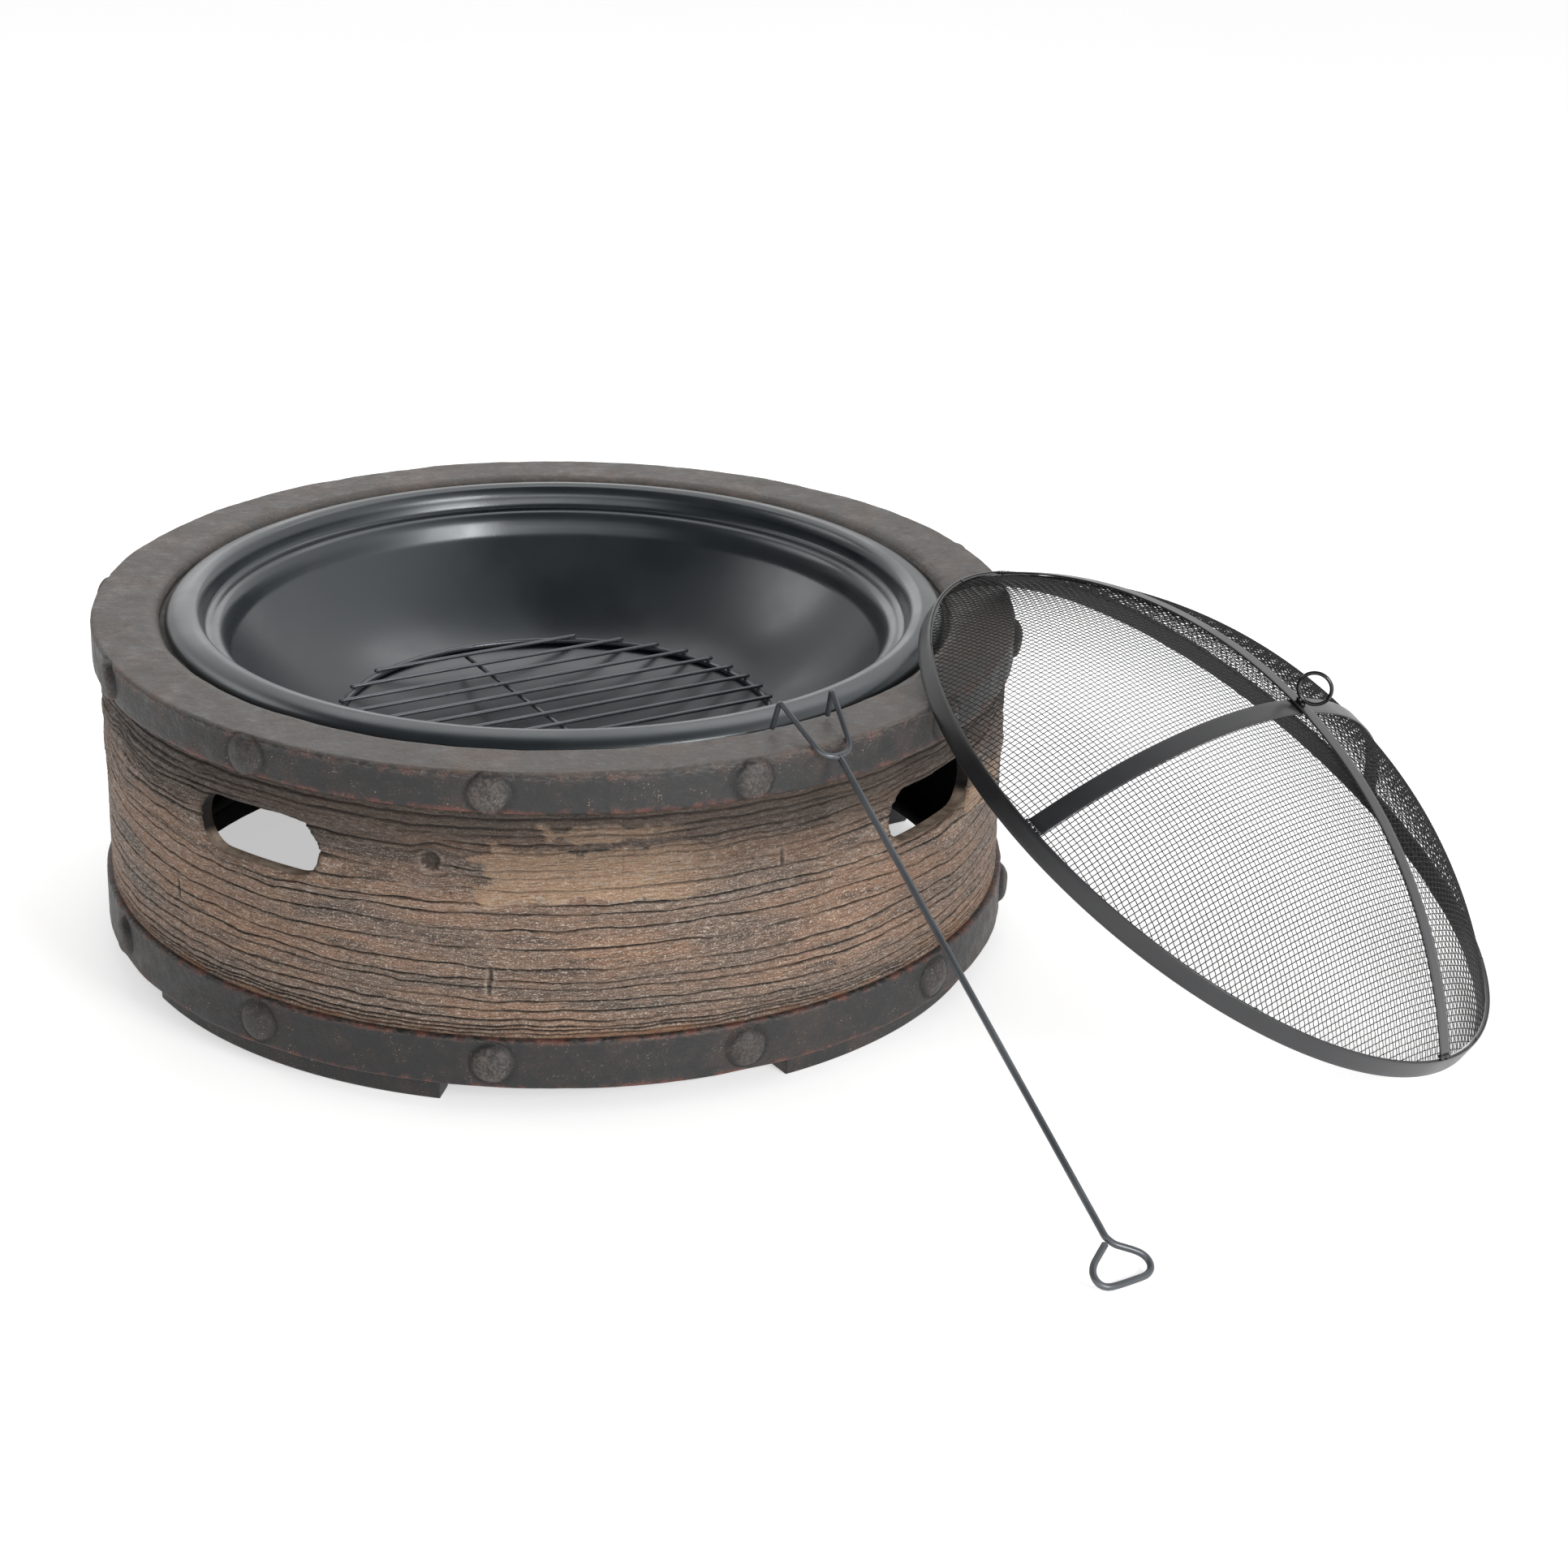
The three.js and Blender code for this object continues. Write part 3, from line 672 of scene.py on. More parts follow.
def crack_strength(azimuth, level):
    """0 to 1 along the nearest crack: long and steady low down, broken higher up."""
    index = np.abs(level[..., None] - np.array(CRACKS)).argmin(-1)
    along = azimuth / 360
    wave = ripple(along * 26, index * 3.7 + 0.5, 21, 26) + 0.5 * ripple(along * 90, index * 5.1, 22, 90)
    steady = 1.0 - 0.4 * smooth_step(0.185, 0.215, level)
    steady = steady + 0.5 * smooth_step(WALL_TOP - 0.03, WALL_TOP - 0.01, level)
    own = np.random.RandomState(8).uniform(-0.25, 0.25, len(CRACKS))[index]
    return np.clip(steady + own + 0.75 * wave, 0.0, 1.0)


def peel_mask(azimuth, height):
    """1 on the peeled places and 0 off them, with a ragged left end."""
    mask = 0 * azimuth * height
    lift, rim = mask.copy(), mask.copy()
    for number, (left, right, low, high, proud) in enumerate(PEELS):
        ragged = 24 * MM * rough(height / 0.009, number * 5.3 + 0 * azimuth, 31 + number, 4, 64)
        from_left = arc_from(azimuth, left) + ragged
        from_right = arc_from(azimuth, right)
        span = math.radians(right - left) * WALL_RADIUS
        wander = 8 * MM * rough(azimuth / 2.2, number + 0 * height, 41 + number, 3, 225)
        rise = np.minimum(height - low * MM, high * MM - height) + wander
        left_side = smooth_step(-0.8 * MM, 0.8 * MM, from_left)
        right_side = smooth_step(0.0, -0.45 * span, from_right)
        plate = left_side * smooth_step(-0.6 * MM, 0.9 * MM, rise)
        near = np.abs(arc_from(azimuth, (left + right) / 2)) < span
        mask = np.where(near, np.maximum(mask, plate * right_side), mask)
        lift = np.where(near, np.maximum(lift, plate * right_side * proud * MM), lift)
        rim = np.where(near, np.maximum(rim, 4 * plate * (1 - plate) * right_side), rim)
    return mask, lift, rim


def flakes(azimuth, height):
    """Thin torn plates over the upper part of the wall: how proud, and their edges."""
    along = azimuth / 360
    zone = smooth_step(0.176, 0.2, height) * smooth_step(WALL_TOP - 4 * MM, WALL_TOP - 14 * MM, height)
    proud, edges = 0 * along * height, 0 * along * height
    for seed, reach, rise, level, thick in ((301, 26, 0.013, 0.12, 1.0), (311, 44, 0.009, 0.2, 0.7)):
        shape = rough(along * reach, height / rise, seed, 4, reach)
        plate = smooth_step(level - 0.035, level + 0.035, shape)
        proud = proud + thick * MM * plate * zone
        edges = np.maximum(edges, 4 * plate * (1 - plate) * zone)
    return proud, edges


def slot_distance(azimuth, height):
    """Distance outside the nearest hand slot's outline, negative inside it."""
    best = np.full(np.broadcast(azimuth, height).shape, 1.0)
    for quarter in range(4):
        turn = arc_from(azimuth, QUARTER_AZIMUTH + 90 * quarter) / WALL_RADIUS
        across = np.where(np.abs(turn) < 1, WALL_RADIUS * np.sin(turn), 1.0)
        beyond = np.maximum(np.abs(across) - (SLOT_LENGTH - SLOT_HEIGHT) / 2, 0)
        best = np.minimum(best, np.hypot(beyond, height - SLOT_MIDDLE) - SLOT_HEIGHT / 2)
    return best


def wall_relief(azimuth, level, height):
    """Height of the wood's surface over the wall's radius, and the fields its shader reads."""
    along = azimuth / 360
    distance = level[..., None] - np.array(CRACKS)
    nearest = np.abs(distance).min(-1)
    strength = crack_strength(azimuth, level)
    mask, lift, rim = peel_mask(azimuth, height)
    proud, edges = flakes(azimuth, height)
    strength = strength * (1 - 0.5 * mask)

    groove = np.interp(nearest, [0, 0.6 * MM, 1.4 * MM], [1, 0.75, 0]) * strength
    lip = bell(nearest, 2.0 * MM, 1.1 * MM) * strength
    gap_index = (distance > 0).sum(-1)
    plank = 0.55 * MM * ripple(along * 40, gap_index * 2.9 + 0.5, 51, 40)
    plank = plank * smooth_step(0, 3 * MM, nearest)
    fibre = 0.28 * MM * ripple(along * 170, level / 0.0021, 52, 170)
    fibre = fibre + 0.2 * MM * ripple(along * 500, level / 0.0042, 53, 500)
    upper = smooth_step(0.17, 0.21, level)
    torn = upper * 0.7 * MM * rough(along * 120, level / 0.005, 54, 3, 120) * (1 - 0.5 * mask)
    lift = lift + proud * (1 - 0.6 * mask)
    relief = plank + fibre + torn + 0.35 * MM * lip - CRACK_DEPTH * groove + lift

    hollow_shade = 0 * relief
    rim = np.maximum(rim, np.maximum(0.6 * edges, 0.3 * lip))
    for spot, middle, radius, depth in HOLES:
        wobble = 1 + 0.18 * ripple(along * 700, height / 0.004, 61, 700)
        away = np.hypot(arc_from(azimuth, spot), height - middle * MM) / (radius * MM) * wobble
        dish = smooth_step(1.05, 0.75, away)
        relief = relief * (1 - dish) - depth * MM * dish
        relief = relief + 0.9 * MM * bell(away, 1.25, 0.22)
        # Painted shade in each hole, darker the deeper the hole.
        hollow_shade = np.maximum(hollow_shade, min(0.8, 0.28 * depth) * dish)
        rim = np.maximum(rim, min(0.6, 0.2 * depth) * bell(away, 1.18, 0.14))
    for spot, middle, length in NICKS:
        sway = 1.5 * MM * ripple(height / 0.012, spot + 0 * azimuth, 62, 64)
        across = np.abs(arc_from(azimuth, spot) + sway)
        reach = smooth_step(length / 2 * MM, (length / 2 - 5) * MM, np.abs(height - middle * MM))
        cut = smooth_step(2.6 * MM, 0.6 * MM, across) * reach
        relief = relief - 1.7 * MM * cut
        # Painted shade in the nick.
        hollow_shade = np.maximum(hollow_shade, 0.85 * cut)
        rim = np.maximum(rim, 0.7 * bell(across, 3.2 * MM, 1.1 * MM) * reach)

    from_slot = slot_distance(azimuth, height)
    relief = relief - 2.2 * MM * smooth_step(5 * MM, 0, from_slot)
    # Painted shade round the slot, heavier towards its upper edge.
    dark = 0.2 + 0.6 * smooth_step(SLOT_MIDDLE - 0.45 * SLOT_HEIGHT, SLOT_MIDDLE, height)
    hollow_shade = np.maximum(hollow_shade, dark * smooth_step(5 * MM, 0.5 * MM, from_slot))
    hidden = smooth_step(WALL_BOTTOM + 0.5 * MM, WALL_BOTTOM - 0.1 * MM, height)
    # The crack field is painted shade for the grooves, following the groove's depth.
    crack = np.clip(groove * 1.15, 0, 1)
    return relief * (1 - hidden), crack, mask, rim, hollow_shade


def slot_cutter(quarter):
    """A rounded bar that cuts one hand slot."""
    end = SLOT_HEIGHT / 2
    straight = SLOT_LENGTH / 2 - end
    section = np.array(arc(straight, 0, end, -90, 90, 24) + arc(-straight, 0, end, 90, 270, 24)) * [-1, 1]
    reach = [WALL_RADIUS - 4 * WALL_THICKNESS, WALL_RADIUS + 2 * WALL_THICKNESS]
    path = around_pit(QUARTER_AZIMUTH + 90 * quarter, np.array(reach), SLOT_MIDDLE)
    return new_object("slot_cutter", *swept_mesh(path, section), SLOT_EDGE, smooth=False)


def cut(piece, cutter):
    """Takes the cutter out of the piece, for good."""
    change = piece.modifiers.new("cut", "BOOLEAN")
    change.operation = "DIFFERENCE"
    change.object = cutter
    change.solver = "MANIFOLD"
    change.material_mode = "TRANSFER"
    bpy.context.view_layer.update()
    ready = piece.evaluated_get(bpy.context.evaluated_depsgraph_get())
    made = bpy.data.meshes.new_from_object(ready)
    piece.modifiers.clear()
    piece.data = made
    bpy.data.objects.remove(cutter)


def wall_quarter(quarter, name):
    """A quarter of the wall, closed all round, with one hand slot."""
    start = QUARTER_AZIMUTH - 45 + 90 * quarter
    columns = round(AROUND / 4 / COLUMN_STEP) + 1
    level, azimuth = np.meshgrid(row_levels(), np.linspace(start, start + 90, columns), indexing="ij")
    height = level + flow(azimuth, level)
    relief, *fields = wall_relief(azimuth, level, height)
    outer = around_pit(azimuth, WALL_RADIUS + relief, height)

    inner_radius = WALL_RADIUS - WALL_THICKNESS
    lower = [
        [WALL_RADIUS - 1 * MM, WALL_BOTTOM - 6 * MM],
        [WALL_RADIUS - 1 * MM, BAND_BOTTOM],
        [LIP_RADIUS, BAND_BOTTOM],
        [LIP_RADIUS, LIP_TOP],
        [inner_radius, LIP_TOP + 4 * MM],
        [inner_radius, SLOT_MIDDLE - SLOT_HEIGHT],
        [inner_radius, SLOT_MIDDLE + SLOT_HEIGHT * 0.7],
        [inner_radius, WALL_TOP],
    ]
    inner = np.stack([around_pit(azimuth[0], radius, top) for radius, top in lower])
    rows = np.concatenate([outer[::-1], inner])
    faces = grid_faces(len(rows), columns, close_rows=True).tolist()
    faces.append([row * columns for row in range(len(rows))])
    faces.append([row * columns + columns - 1 for row in range(len(rows))][::-1])
    piece = new_object(name, rows.reshape(-1, 3), faces, WOOD)
    # The inner faces get the near-black painted shade.
    darken(piece, np.arange(len(faces)) >= (len(outer) - 1) * (columns - 1))

    def field(values):
        return np.concatenate([values[::-1].ravel(), np.zeros(inner.size // 3)])

    grain = [field(np.radians(azimuth) * WALL_RADIUS), field(level)]
    set_field(piece, "grain", stacked(*grain, 0))
    # The crack field and the field of dark in holes, nicks and slot edges carry painted shade.
    for title, values in zip(("crack", "peel", "rim", "hollow_shade"), fields):
        set_field(piece, title, field(values))
    cut(piece, slot_cutter(quarter))
    place(piece, "base", ["base_wall"])


# ---- Cast rings: collar, band and feet ----


def stud_bump(azimuth, height, middle):
    """The domed studs on a ring's side: how proud, the painted shade of the dark line round each, and each
    one's crown, lighter by wear and by a painted highlight.
    """
    half = STUD_SPACING / 2
    nearest = (azimuth - QUARTER_AZIMUTH + half) % STUD_SPACING - half
    index = np.round((azimuth - QUARTER_AZIMUTH) / STUD_SPACING)
    across = np.radians(nearest) * COLLAR_RADIUS
    wobble = 1 + 0.05 * ripple(across / 0.012 + index * 9, height / 0.012, 71)
    away = np.hypot(across, height - middle) / STUD_RADIUS * wobble
    dome = np.clip(1 - away * away, 0, 1) ** 0.55
    dents = 1.3 * MM * ripple(across / 0.012 + index * 7, height / 0.012, 72) * dome
    # The moat is a shallow groove and also the mask of the painted shade round the stud.
    moat = bell(away, 1.08, 0.08)
    worn = np.random.RandomState(73).uniform(0.05, 0.6, 64)[index.astype(int) % 64]
    # The crown's lighter tone is wear, varied per stud, and a painted highlight on the dome's top.
    crown = 0.75 * worn * smooth_step(1, 0.75, away)
    return STUD_PROUD * dome + dents - 1.3 * MM * moat, moat, crown


def cast_ring(name, outline, side_radius, stud_height, segments, dent, marks):
    """A turned ring with a hammered surface and domed studs on its outer side."""
    outline = np.array(outline)
    azimuth = np.arange(segments)[None, :] * 360 / segments
    radius, height = outline[:, :1], outline[:, 1:]
    out = np.roll(outline, -1, axis=0) - np.roll(outline, 1, axis=0)
    out = stacked(out[:, 1], -out[:, 0])
    out /= np.linalg.norm(out, axis=1)[:, None]
    shown = smooth_step(LEDGE_RADIUS, COLLAR_HOLE, radius)
    along = azimuth / 360
    run = np.concatenate([[0], np.cumsum(np.linalg.norm(np.diff(outline, axis=0), axis=1))])[:, None]
    hammer = dent * ripple(along * 70, run / 0.04, 81, 70)
    hammer = hammer + 0.8 * dent * rough(along * 150, run / 0.017, 85, 3, 150)
    side = smooth_step(side_radius - 4 * MM, side_radius - 0.5 * MM, radius)
    studs, moat, crown = (part * side for part in stud_bump(azimuth, height, stud_height))
    hammer = hammer * shown * (1 - smooth_step(1 * MM, 4 * MM, studs))
    points = around_pit(azimuth, radius + hammer * out[:, :1] + studs, height + hammer * out[:, 1:])
    faces = grid_faces(len(outline), segments, close_rows=True, close_columns=True)
    piece = new_object(name, points.reshape(-1, 3), faces, CAST)
    for title, values in (marks(radius, height) | {"moat": moat, "crown": crown}).items():
        set_field(piece, title, np.broadcast_to(values, hammer.shape).ravel())
    place(piece, "base", ["base_" + name])


def collar():
    inner = WALL_RADIUS - WALL_THICKNESS
    edge = COLLAR_EDGE
    side = arc(COLLAR_RADIUS - edge, WALL_TOP + edge, edge, -90, 0, 5)
    top = arc(COLLAR_RADIUS - edge, COLLAR_TOP - edge, edge, 0, 90, 6)
    hole = [[COLLAR_HOLE + out * MM, COLLAR_TOP - drop * MM] for out, drop in COLLAR_DIP]
    shown = side + top + hole
    rest = [[COLLAR_HOLE, LEDGE_TOP], [LEDGE_RADIUS, LEDGE_TOP], [LEDGE_RADIUS, COLLAR_UNDERSIDE]]
    rest += [[inner, COLLAR_UNDERSIDE], [inner, WALL_TOP]]
    hidden = [hole[-1]] + rest + side[:1]
    outline = dense(shown, 1.9 * MM, closed=False) + dense(hidden, 8 * MM, closed=False)

    def marks(radius, height):
        # Where the collar gets the lighter copy of its paint as painted light: the top and the hole's rim.
        lit_top = smooth_step(COLLAR_TOP - 3 * MM, COLLAR_TOP - 0.6 * MM, height)
        lit_top = np.maximum(lit_top, smooth_step(COLLAR_HOLE + 0.02, COLLAR_HOLE + 0.012, radius))
        edge = bell(height, COLLAR_TOP - 4 * MM, 3.6 * MM)
        edge = edge * smooth_step(COLLAR_RADIUS - 0.012, COLLAR_RADIUS - 0.004, radius)
        low = smooth_step(WALL_TOP + 8 * MM, WALL_TOP + 1 * MM, height)
        return {"top": lit_top, "edge": edge, "low_edge": low}

    cast_ring("collar", outline, COLLAR_RADIUS, COLLAR_STUD, 1000, 0.6 * MM, marks)


def band():
    top_edge = 3 * MM
    inner = WALL_RADIUS - 2 * MM
    side = arc(BAND_RADIUS - top_edge, BAND_BOTTOM + top_edge, top_edge, -90, 0, 5)
    side += arc(BAND_RADIUS - top_edge, WALL_BOTTOM - top_edge, top_edge, 0, 90, 5)
    outline = dense(side + [[inner, WALL_BOTTOM], [inner, BAND_BOTTOM]], 1.9 * MM)

    def marks(radius, height):
        edge = smooth_step(WALL_BOTTOM - 5 * MM, WALL_BOTTOM - 1 * MM, height)
        low = smooth_step(BAND_BOTTOM + 6 * MM, BAND_BOTTOM + 1 * MM, height)
        return {"top": 0 * height, "edge": edge, "low_edge": np.maximum(low, 0.6 * edge)}

    cast_ring("band", outline, BAND_RADIUS, BAND_STUD, 1200, 0.5 * MM, marks)


def foot(number):
    """A curved block under the wall, with softened edges and painted shade on its inner side."""
    middle = QUARTER_AZIMUTH + 90 * (number - 1)
    tall = BAND_BOTTOM - 0.3 * MM
    azimuths = np.linspace(middle - FOOT_SPAN / 2, middle + FOOT_SPAN / 2, 60)
    path = around_pit(azimuths, FOOT_RADIUS - FOOT_WIDTH / 2, tall / 2)
    path[0] += (path[1] - path[0]) * 0.25
    path[-1] += (path[-2] - path[-1]) * 0.25
    part = swept_mesh(path, strip_section(FOOT_WIDTH, tall, 2.5 * MM))
    piece = new_object(f"foot_{number}", *part, CAST)
    inner = FOOT_RADIUS - 0.8 * FOOT_WIDTH
    # Painted shade on the foot's inner side.
    darken(piece, [math.dist(face.center.xy, PIT.xy) < inner for face in piece.data.polygons])
    crisp = piece.modifiers.new("edges", "BEVEL")
    crisp.width = 1.2 * MM
    crisp.segments = 2
    crisp.limit_method = "ANGLE"
    place(piece, "base", [f"base_foot_{number}"])


# ---- Bowl ----

BOWL_THICKNESS = 1.8 * MM
BOWL_FLOOR = 172 * MM
DISH_RADIUS = 316 * MM
DISH_TOP = 288 * MM
DISH_POWER = 3.6
# Steep band, ledge, riser and rolled rim, as radius and height in millimetres
BOWL_RIM = [
    (314.2, 286), (316.2, 291.4), (318, 297), (320.2, 302.4), (323.4, 306.6), (328, 308.8), (334, 309),
    (338.2, 311), (340, 316.5), (341.4, 323), (345, 328.6), (350.5, 330.7), (356, 331), (364, 329),
    (370, 326.4), (373.6, 323.4), (375.4, 320), (375.8, 316.6),
]


def smooth_curve(points, steps):
    """A smooth line through the points, by Catmull-Rom spans."""
    p = np.array([2 * np.array(points[0]) - points[1], *points, 2 * np.array(points[-1]) - points[-2]])
    t = np.linspace(0, 1, steps, endpoint=False)[:, None]
    spans = []
    for a, b, c, d in zip(p, p[1:], p[2:], p[3:]):
        square, cube = 2 * a - 5 * b + 4 * c - d, 3 * b - a - 3 * c + d
        spans.append(0.5 * (2 * b + (c - a) * t + square * t**2 + cube * t**3))
    return np.concatenate([*spans, [points[-1]]])


def bowl():
    part = np.linspace(0, 0.978, 40) ** 0.7
    dish = stacked(DISH_RADIUS * part, BOWL_FLOOR + (DISH_TOP - BOWL_FLOOR) * part**DISH_POWER)
    upper = np.concatenate([dish, smooth_curve([dish[-1], *(np.array(BOWL_RIM) * MM)], 4)[1:]])
    run = np.gradient(upper, axis=0)
    run /= np.linalg.norm(run, axis=1)[:, None]
    under = upper + BOWL_THICKNESS * stacked(run[:, 1], -run[:, 0])
    under[:, 0] = np.maximum(under[:, 0], 0)
    end = (upper[-1] + under[-1]) / 2 + run[-1] * BOWL_THICKNESS / 2
    outline = np.concatenate([upper[1:], [end], under[:0:-1]])
    segments = 360
    azimuth = np.arange(segments)[None, :] * 360 / segments
    ring = around_pit(azimuth, outline[:, :1], outline[:, 1:]).reshape(-1, 3)
    points = np.concatenate([ring, [[PIT.x, PIT.y, upper[0, 1]], [PIT.x, PIT.y, under[0, 1]]]])
    faces = grid_faces(len(outline), segments, close_columns=True).tolist()
    last = (len(outline) - 1) * segments
    for i in range(segments):
        j = (i + 1) % segments
        faces += [[len(ring), j, i], [len(ring) + 1, last + i, last + j]]
    piece = new_object("bowl", points, faces, ENAMEL)
    index = np.arange(len(faces))
    # The underside gets the near-black painted shade.
    darken(piece, (index >= len(upper) * segments) & (index < last))
    place(piece, "bowl", ["fire_bowl"])


# ---- Grate ----


def ring_path(radius, height, steps):
    angles = np.arange(steps) * 2 * math.pi / steps
    return stacked(radius * np.cos(angles), radius * np.sin(angles), height)


def grate():
    """Ring, cross rod, bars and their weld beads, made level about the ring's middle."""
    matrix = Matrix.Translation(PIT + Vector((0, 0, GRATE_HEIGHT))) @ turned(GRATE_HEADING)
    wire = circle_section(GRATE_WIRE, 12)
    ring = swept_mesh(ring_path(GRATE_RADIUS, 0, 240), circle_section(GRATE_RING_WIRE, 14), closed=True)
    half = (GRATE_BARS - 1) * GRATE_PITCH / 2 + GRATE_ROD_OVERHANG
    rod = stacked(GRATE_ROD_OFFSET, np.linspace(-half, half, 40), GRATE_RING_WIRE - GRATE_WIRE)
    pieces = [
        ("grate_ring_wire", ring, ["grate_ring"]),
        ("grate_cross_rod_wire", swept_mesh(rod, wire, end_round=0.6 * MM), ["grate_cross_rod"]),
    ]
    welds = []
    chance = np.random.RandomState(5)
    for number in range(1, GRATE_BARS + 1):
        offset = (number - (GRATE_BARS + 1) / 2) * GRATE_PITCH
        on_ring = math.sqrt(GRATE_RADIUS**2 - offset**2)
        reach = on_ring + GRATE_OVERHANG - 0.6 * MM
        steps = np.linspace(-reach, reach, 60)
        sway = 0.3 * MM * ripple(steps / 0.09, number * 1.7, 91)
        path = stacked(steps, offset + sway, GRATE_RING_WIRE + GRATE_WIRE)
        bar = swept_mesh(path, wire, end_round=0.6 * MM)
        pieces.append((f"grate_wire_{number:02d}", bar, [f"grate_bar_{number:02d}"]))
        for x in (on_ring, -on_ring, GRATE_ROD_OFFSET):
            size = [chance.uniform(1.6, 2.3) * MM, chance.uniform(1.7, 2.3) * MM, 1.0 * MM]
            spot = Matrix.Translation((x, offset, GRATE_RING_WIRE + 0.2 * MM))
            welds.append(moved(blob(size, chance.randint(1000), 0.2), spot))
    pieces.append(("grate_welds", joined(welds), []))
    for name, part, nodes in pieces:
        place(new_object(name, *moved(part, matrix), GRATE_PAINT), "grate", nodes)


# ---- Spark screen, made about its own axis with the hoop's upper edge at height 0 ----

SCREEN = Matrix.Translation((hoop_low + hoop_high) / 2) @ turned(SCREEN_HEADING)
SCREEN = SCREEN @ turned(SCREEN_TILT, "Y") @ Matrix.Translation((0, 0, HOOP_WIDTH / 2))
BALL = (DOME_RADIUS**2 + (DOME_HEIGHT + DOME_DROP) ** 2) / (2 * (DOME_HEIGHT + DOME_DROP))
BALL_MIDDLE = DOME_HEIGHT - BALL


def screen_piece(name, part, nodes, shader=SCREEN_PAINT):
    place(new_object(name, *moved(part, SCREEN), shader), "spark_screen", nodes)


def flat_ring(name, node, radius, top, width, thickness):
    """A flat bar on its edge, bent round the screen's axis."""
    flat = strip_section(width, thickness, 0.6 * MM)
    path = ring_path(radius - thickness / 2, top - width / 2, 360)
    screen_piece(name, swept_mesh(path, stacked(flat[:, 1], -flat[:, 0]), closed=True), [node])


def woven(lifted):
    """All the wires of one direction; `lifted` is 0 or 1 for the wires that start over or under."""
    middle_ball = BALL - 0.5 * MM
    edge = DOME_RADIUS - 0.6 * MM
    count = int(2 * edge / MESH_PITCH)
    points, faces, first = [], [], 0
    side_angles = np.arange(4) * math.pi / 2
    for wire in range(count):
        offset = (wire - (count - 1) / 2) * MESH_PITCH
        reach = math.sqrt(max(edge**2 - offset**2, 0))
        if reach < MESH_PITCH:
            continue
        last = int(reach / MESH_PITCH - 0.5)
        index = np.arange(-last - 1, last + 1)
        run = (index + 0.5) * MESH_PITCH
        sway = 0.35 * MM * ripple(run / 0.06, wire * 0.37 + 0 * run, 101 + lifted)
        over = np.where((index + wire + lifted) % 2 == 0, 1.0, -1.0) * MESH_WIRE
        x = np.concatenate([[-reach], run, [reach]])
        y = offset + np.pad(sway, 1)
        path = stacked(x, y, np.sqrt(middle_ball**2 - x * x - y * y))
        up = path / middle_ball
        path = path + up * np.pad(over, 1)[:, None]
        along = np.gradient(path, axis=0)
        along /= np.linalg.norm(along, axis=1)[:, None]
        across = np.cross(along, up)
        ring = [path + MESH_WIRE * (math.cos(a) * across + math.sin(a) * up) for a in side_angles]
        points.append(np.stack(ring, axis=1).reshape(-1, 3))
        faces.append(grid_faces(len(path), 4, close_columns=True, first=first))
        end = first + (len(path) - 1) * 4
        faces.append(np.array([[first + 3, first + 2, first + 1, first], [end, end + 1, end + 2, end + 3]]))
        first += len(path) * 4
    points = np.concatenate(points) + np.array([0, 0, BALL_MIDDLE])
    return points, np.concatenate(faces).tolist()


def mesh_dome():
    for name, azimuth, lifted in (("mesh_warp", STRAP_AZIMUTH, 0), ("mesh_weft", STRAP_AZIMUTH + 90, 1)):
        part = moved(woven(lifted), turned(azimuth))
        screen_piece(name, part, ["screen_mesh"], MESH_PAINT)


def strap(name, height, azimuth, node):
    """A flat bar bent over the dome, its underside at the height given at the middle."""
    rise = height - STRAP_END_HEIGHT
    bend = (STRAP_END**2 + rise**2) / (2 * rise)
    end = math.asin(STRAP_END / bend)
    angles = np.linspace(-end, end, 120)
    radius = bend + STRAP_THICKNESS / 2
    path = stacked(radius * np.sin(angles), 0, height - bend + radius * np.cos(angles))
    part = swept_mesh(path, strip_section(STRAP_WIDTH, STRAP_THICKNESS, 0.6 * MM))
    screen_piece(name, moved(part, turned(azimuth)), [node])


def screen_welds():
    """Beads where the straps meet the hoop, and tacks round the clamp ring."""
    chance = np.random.RandomState(17)
    lumps = []

    def bead(azimuth, spot, size):
        lump = blob(np.array(size) * MM, chance.randint(1000), 0.25)
        lumps.append(moved(lump, turned(azimuth) @ Matrix.Translation(spot)))

    for end in range(4):
        for side in (-1, -0.45, 0.2, 0.8):
            spot = (HOOP_RADIUS - 3.6 * MM, side * STRAP_WIDTH * 0.46, 0.9 * MM)
            size = [chance.uniform(1.8, 3), chance.uniform(1.8, 3), chance.uniform(1.1, 1.8)]
            bead(STRAP_AZIMUTH + 90 * end, spot, size)
    for tack in range(12):
        size = [1.6, chance.uniform(1.6, 2.6), 0.8]
        bead(STRAP_AZIMUTH + 30 * tack + 15, (HOOP_RADIUS - 2.0 * MM, 0, -0.1 * MM), size)
    screen_piece("screen_welds", joined(lumps), [])


def beads(*sizes):
    """Weld beads given as size, seed, unevenness and place, sizes and places in millimetres."""
    lumps = [
        moved(blob(np.array(size) * MM, seed, uneven), Matrix.Translation(Vector(spot) * MM))
        for size, seed, uneven, spot in sizes
    ]
    return joined(lumps)


def ring_handle():
    centre = CROSSING_TOP + 2.6 * MM + RING_WIRE + RING_RADIUS
    circle = ring_path(RING_RADIUS, 0, 72)
    circle = stacked(circle[:, 0], circle[:, 2], circle[:, 1] + centre)
    part = swept_mesh(circle, circle_section(RING_WIRE, 14), (0, 1, 0), closed=True)
    screen_piece("ring_handle", part, ["screen_ring_handle"], GLOSS_PAINT)
    weld = beads(((4.3, 4.1, 2.2), 3, 0.1, (0, 0, 0.9)), ((3.1, 3.1, 3.0), 9, 0.08, (-4.5, 0, 2.6)))
    weld = moved(weld, Matrix.Translation((0, 0, CROSSING_TOP)))
    screen_piece("ring_weld", weld, ["screen_ring_boss"], GLOSS_PAINT)


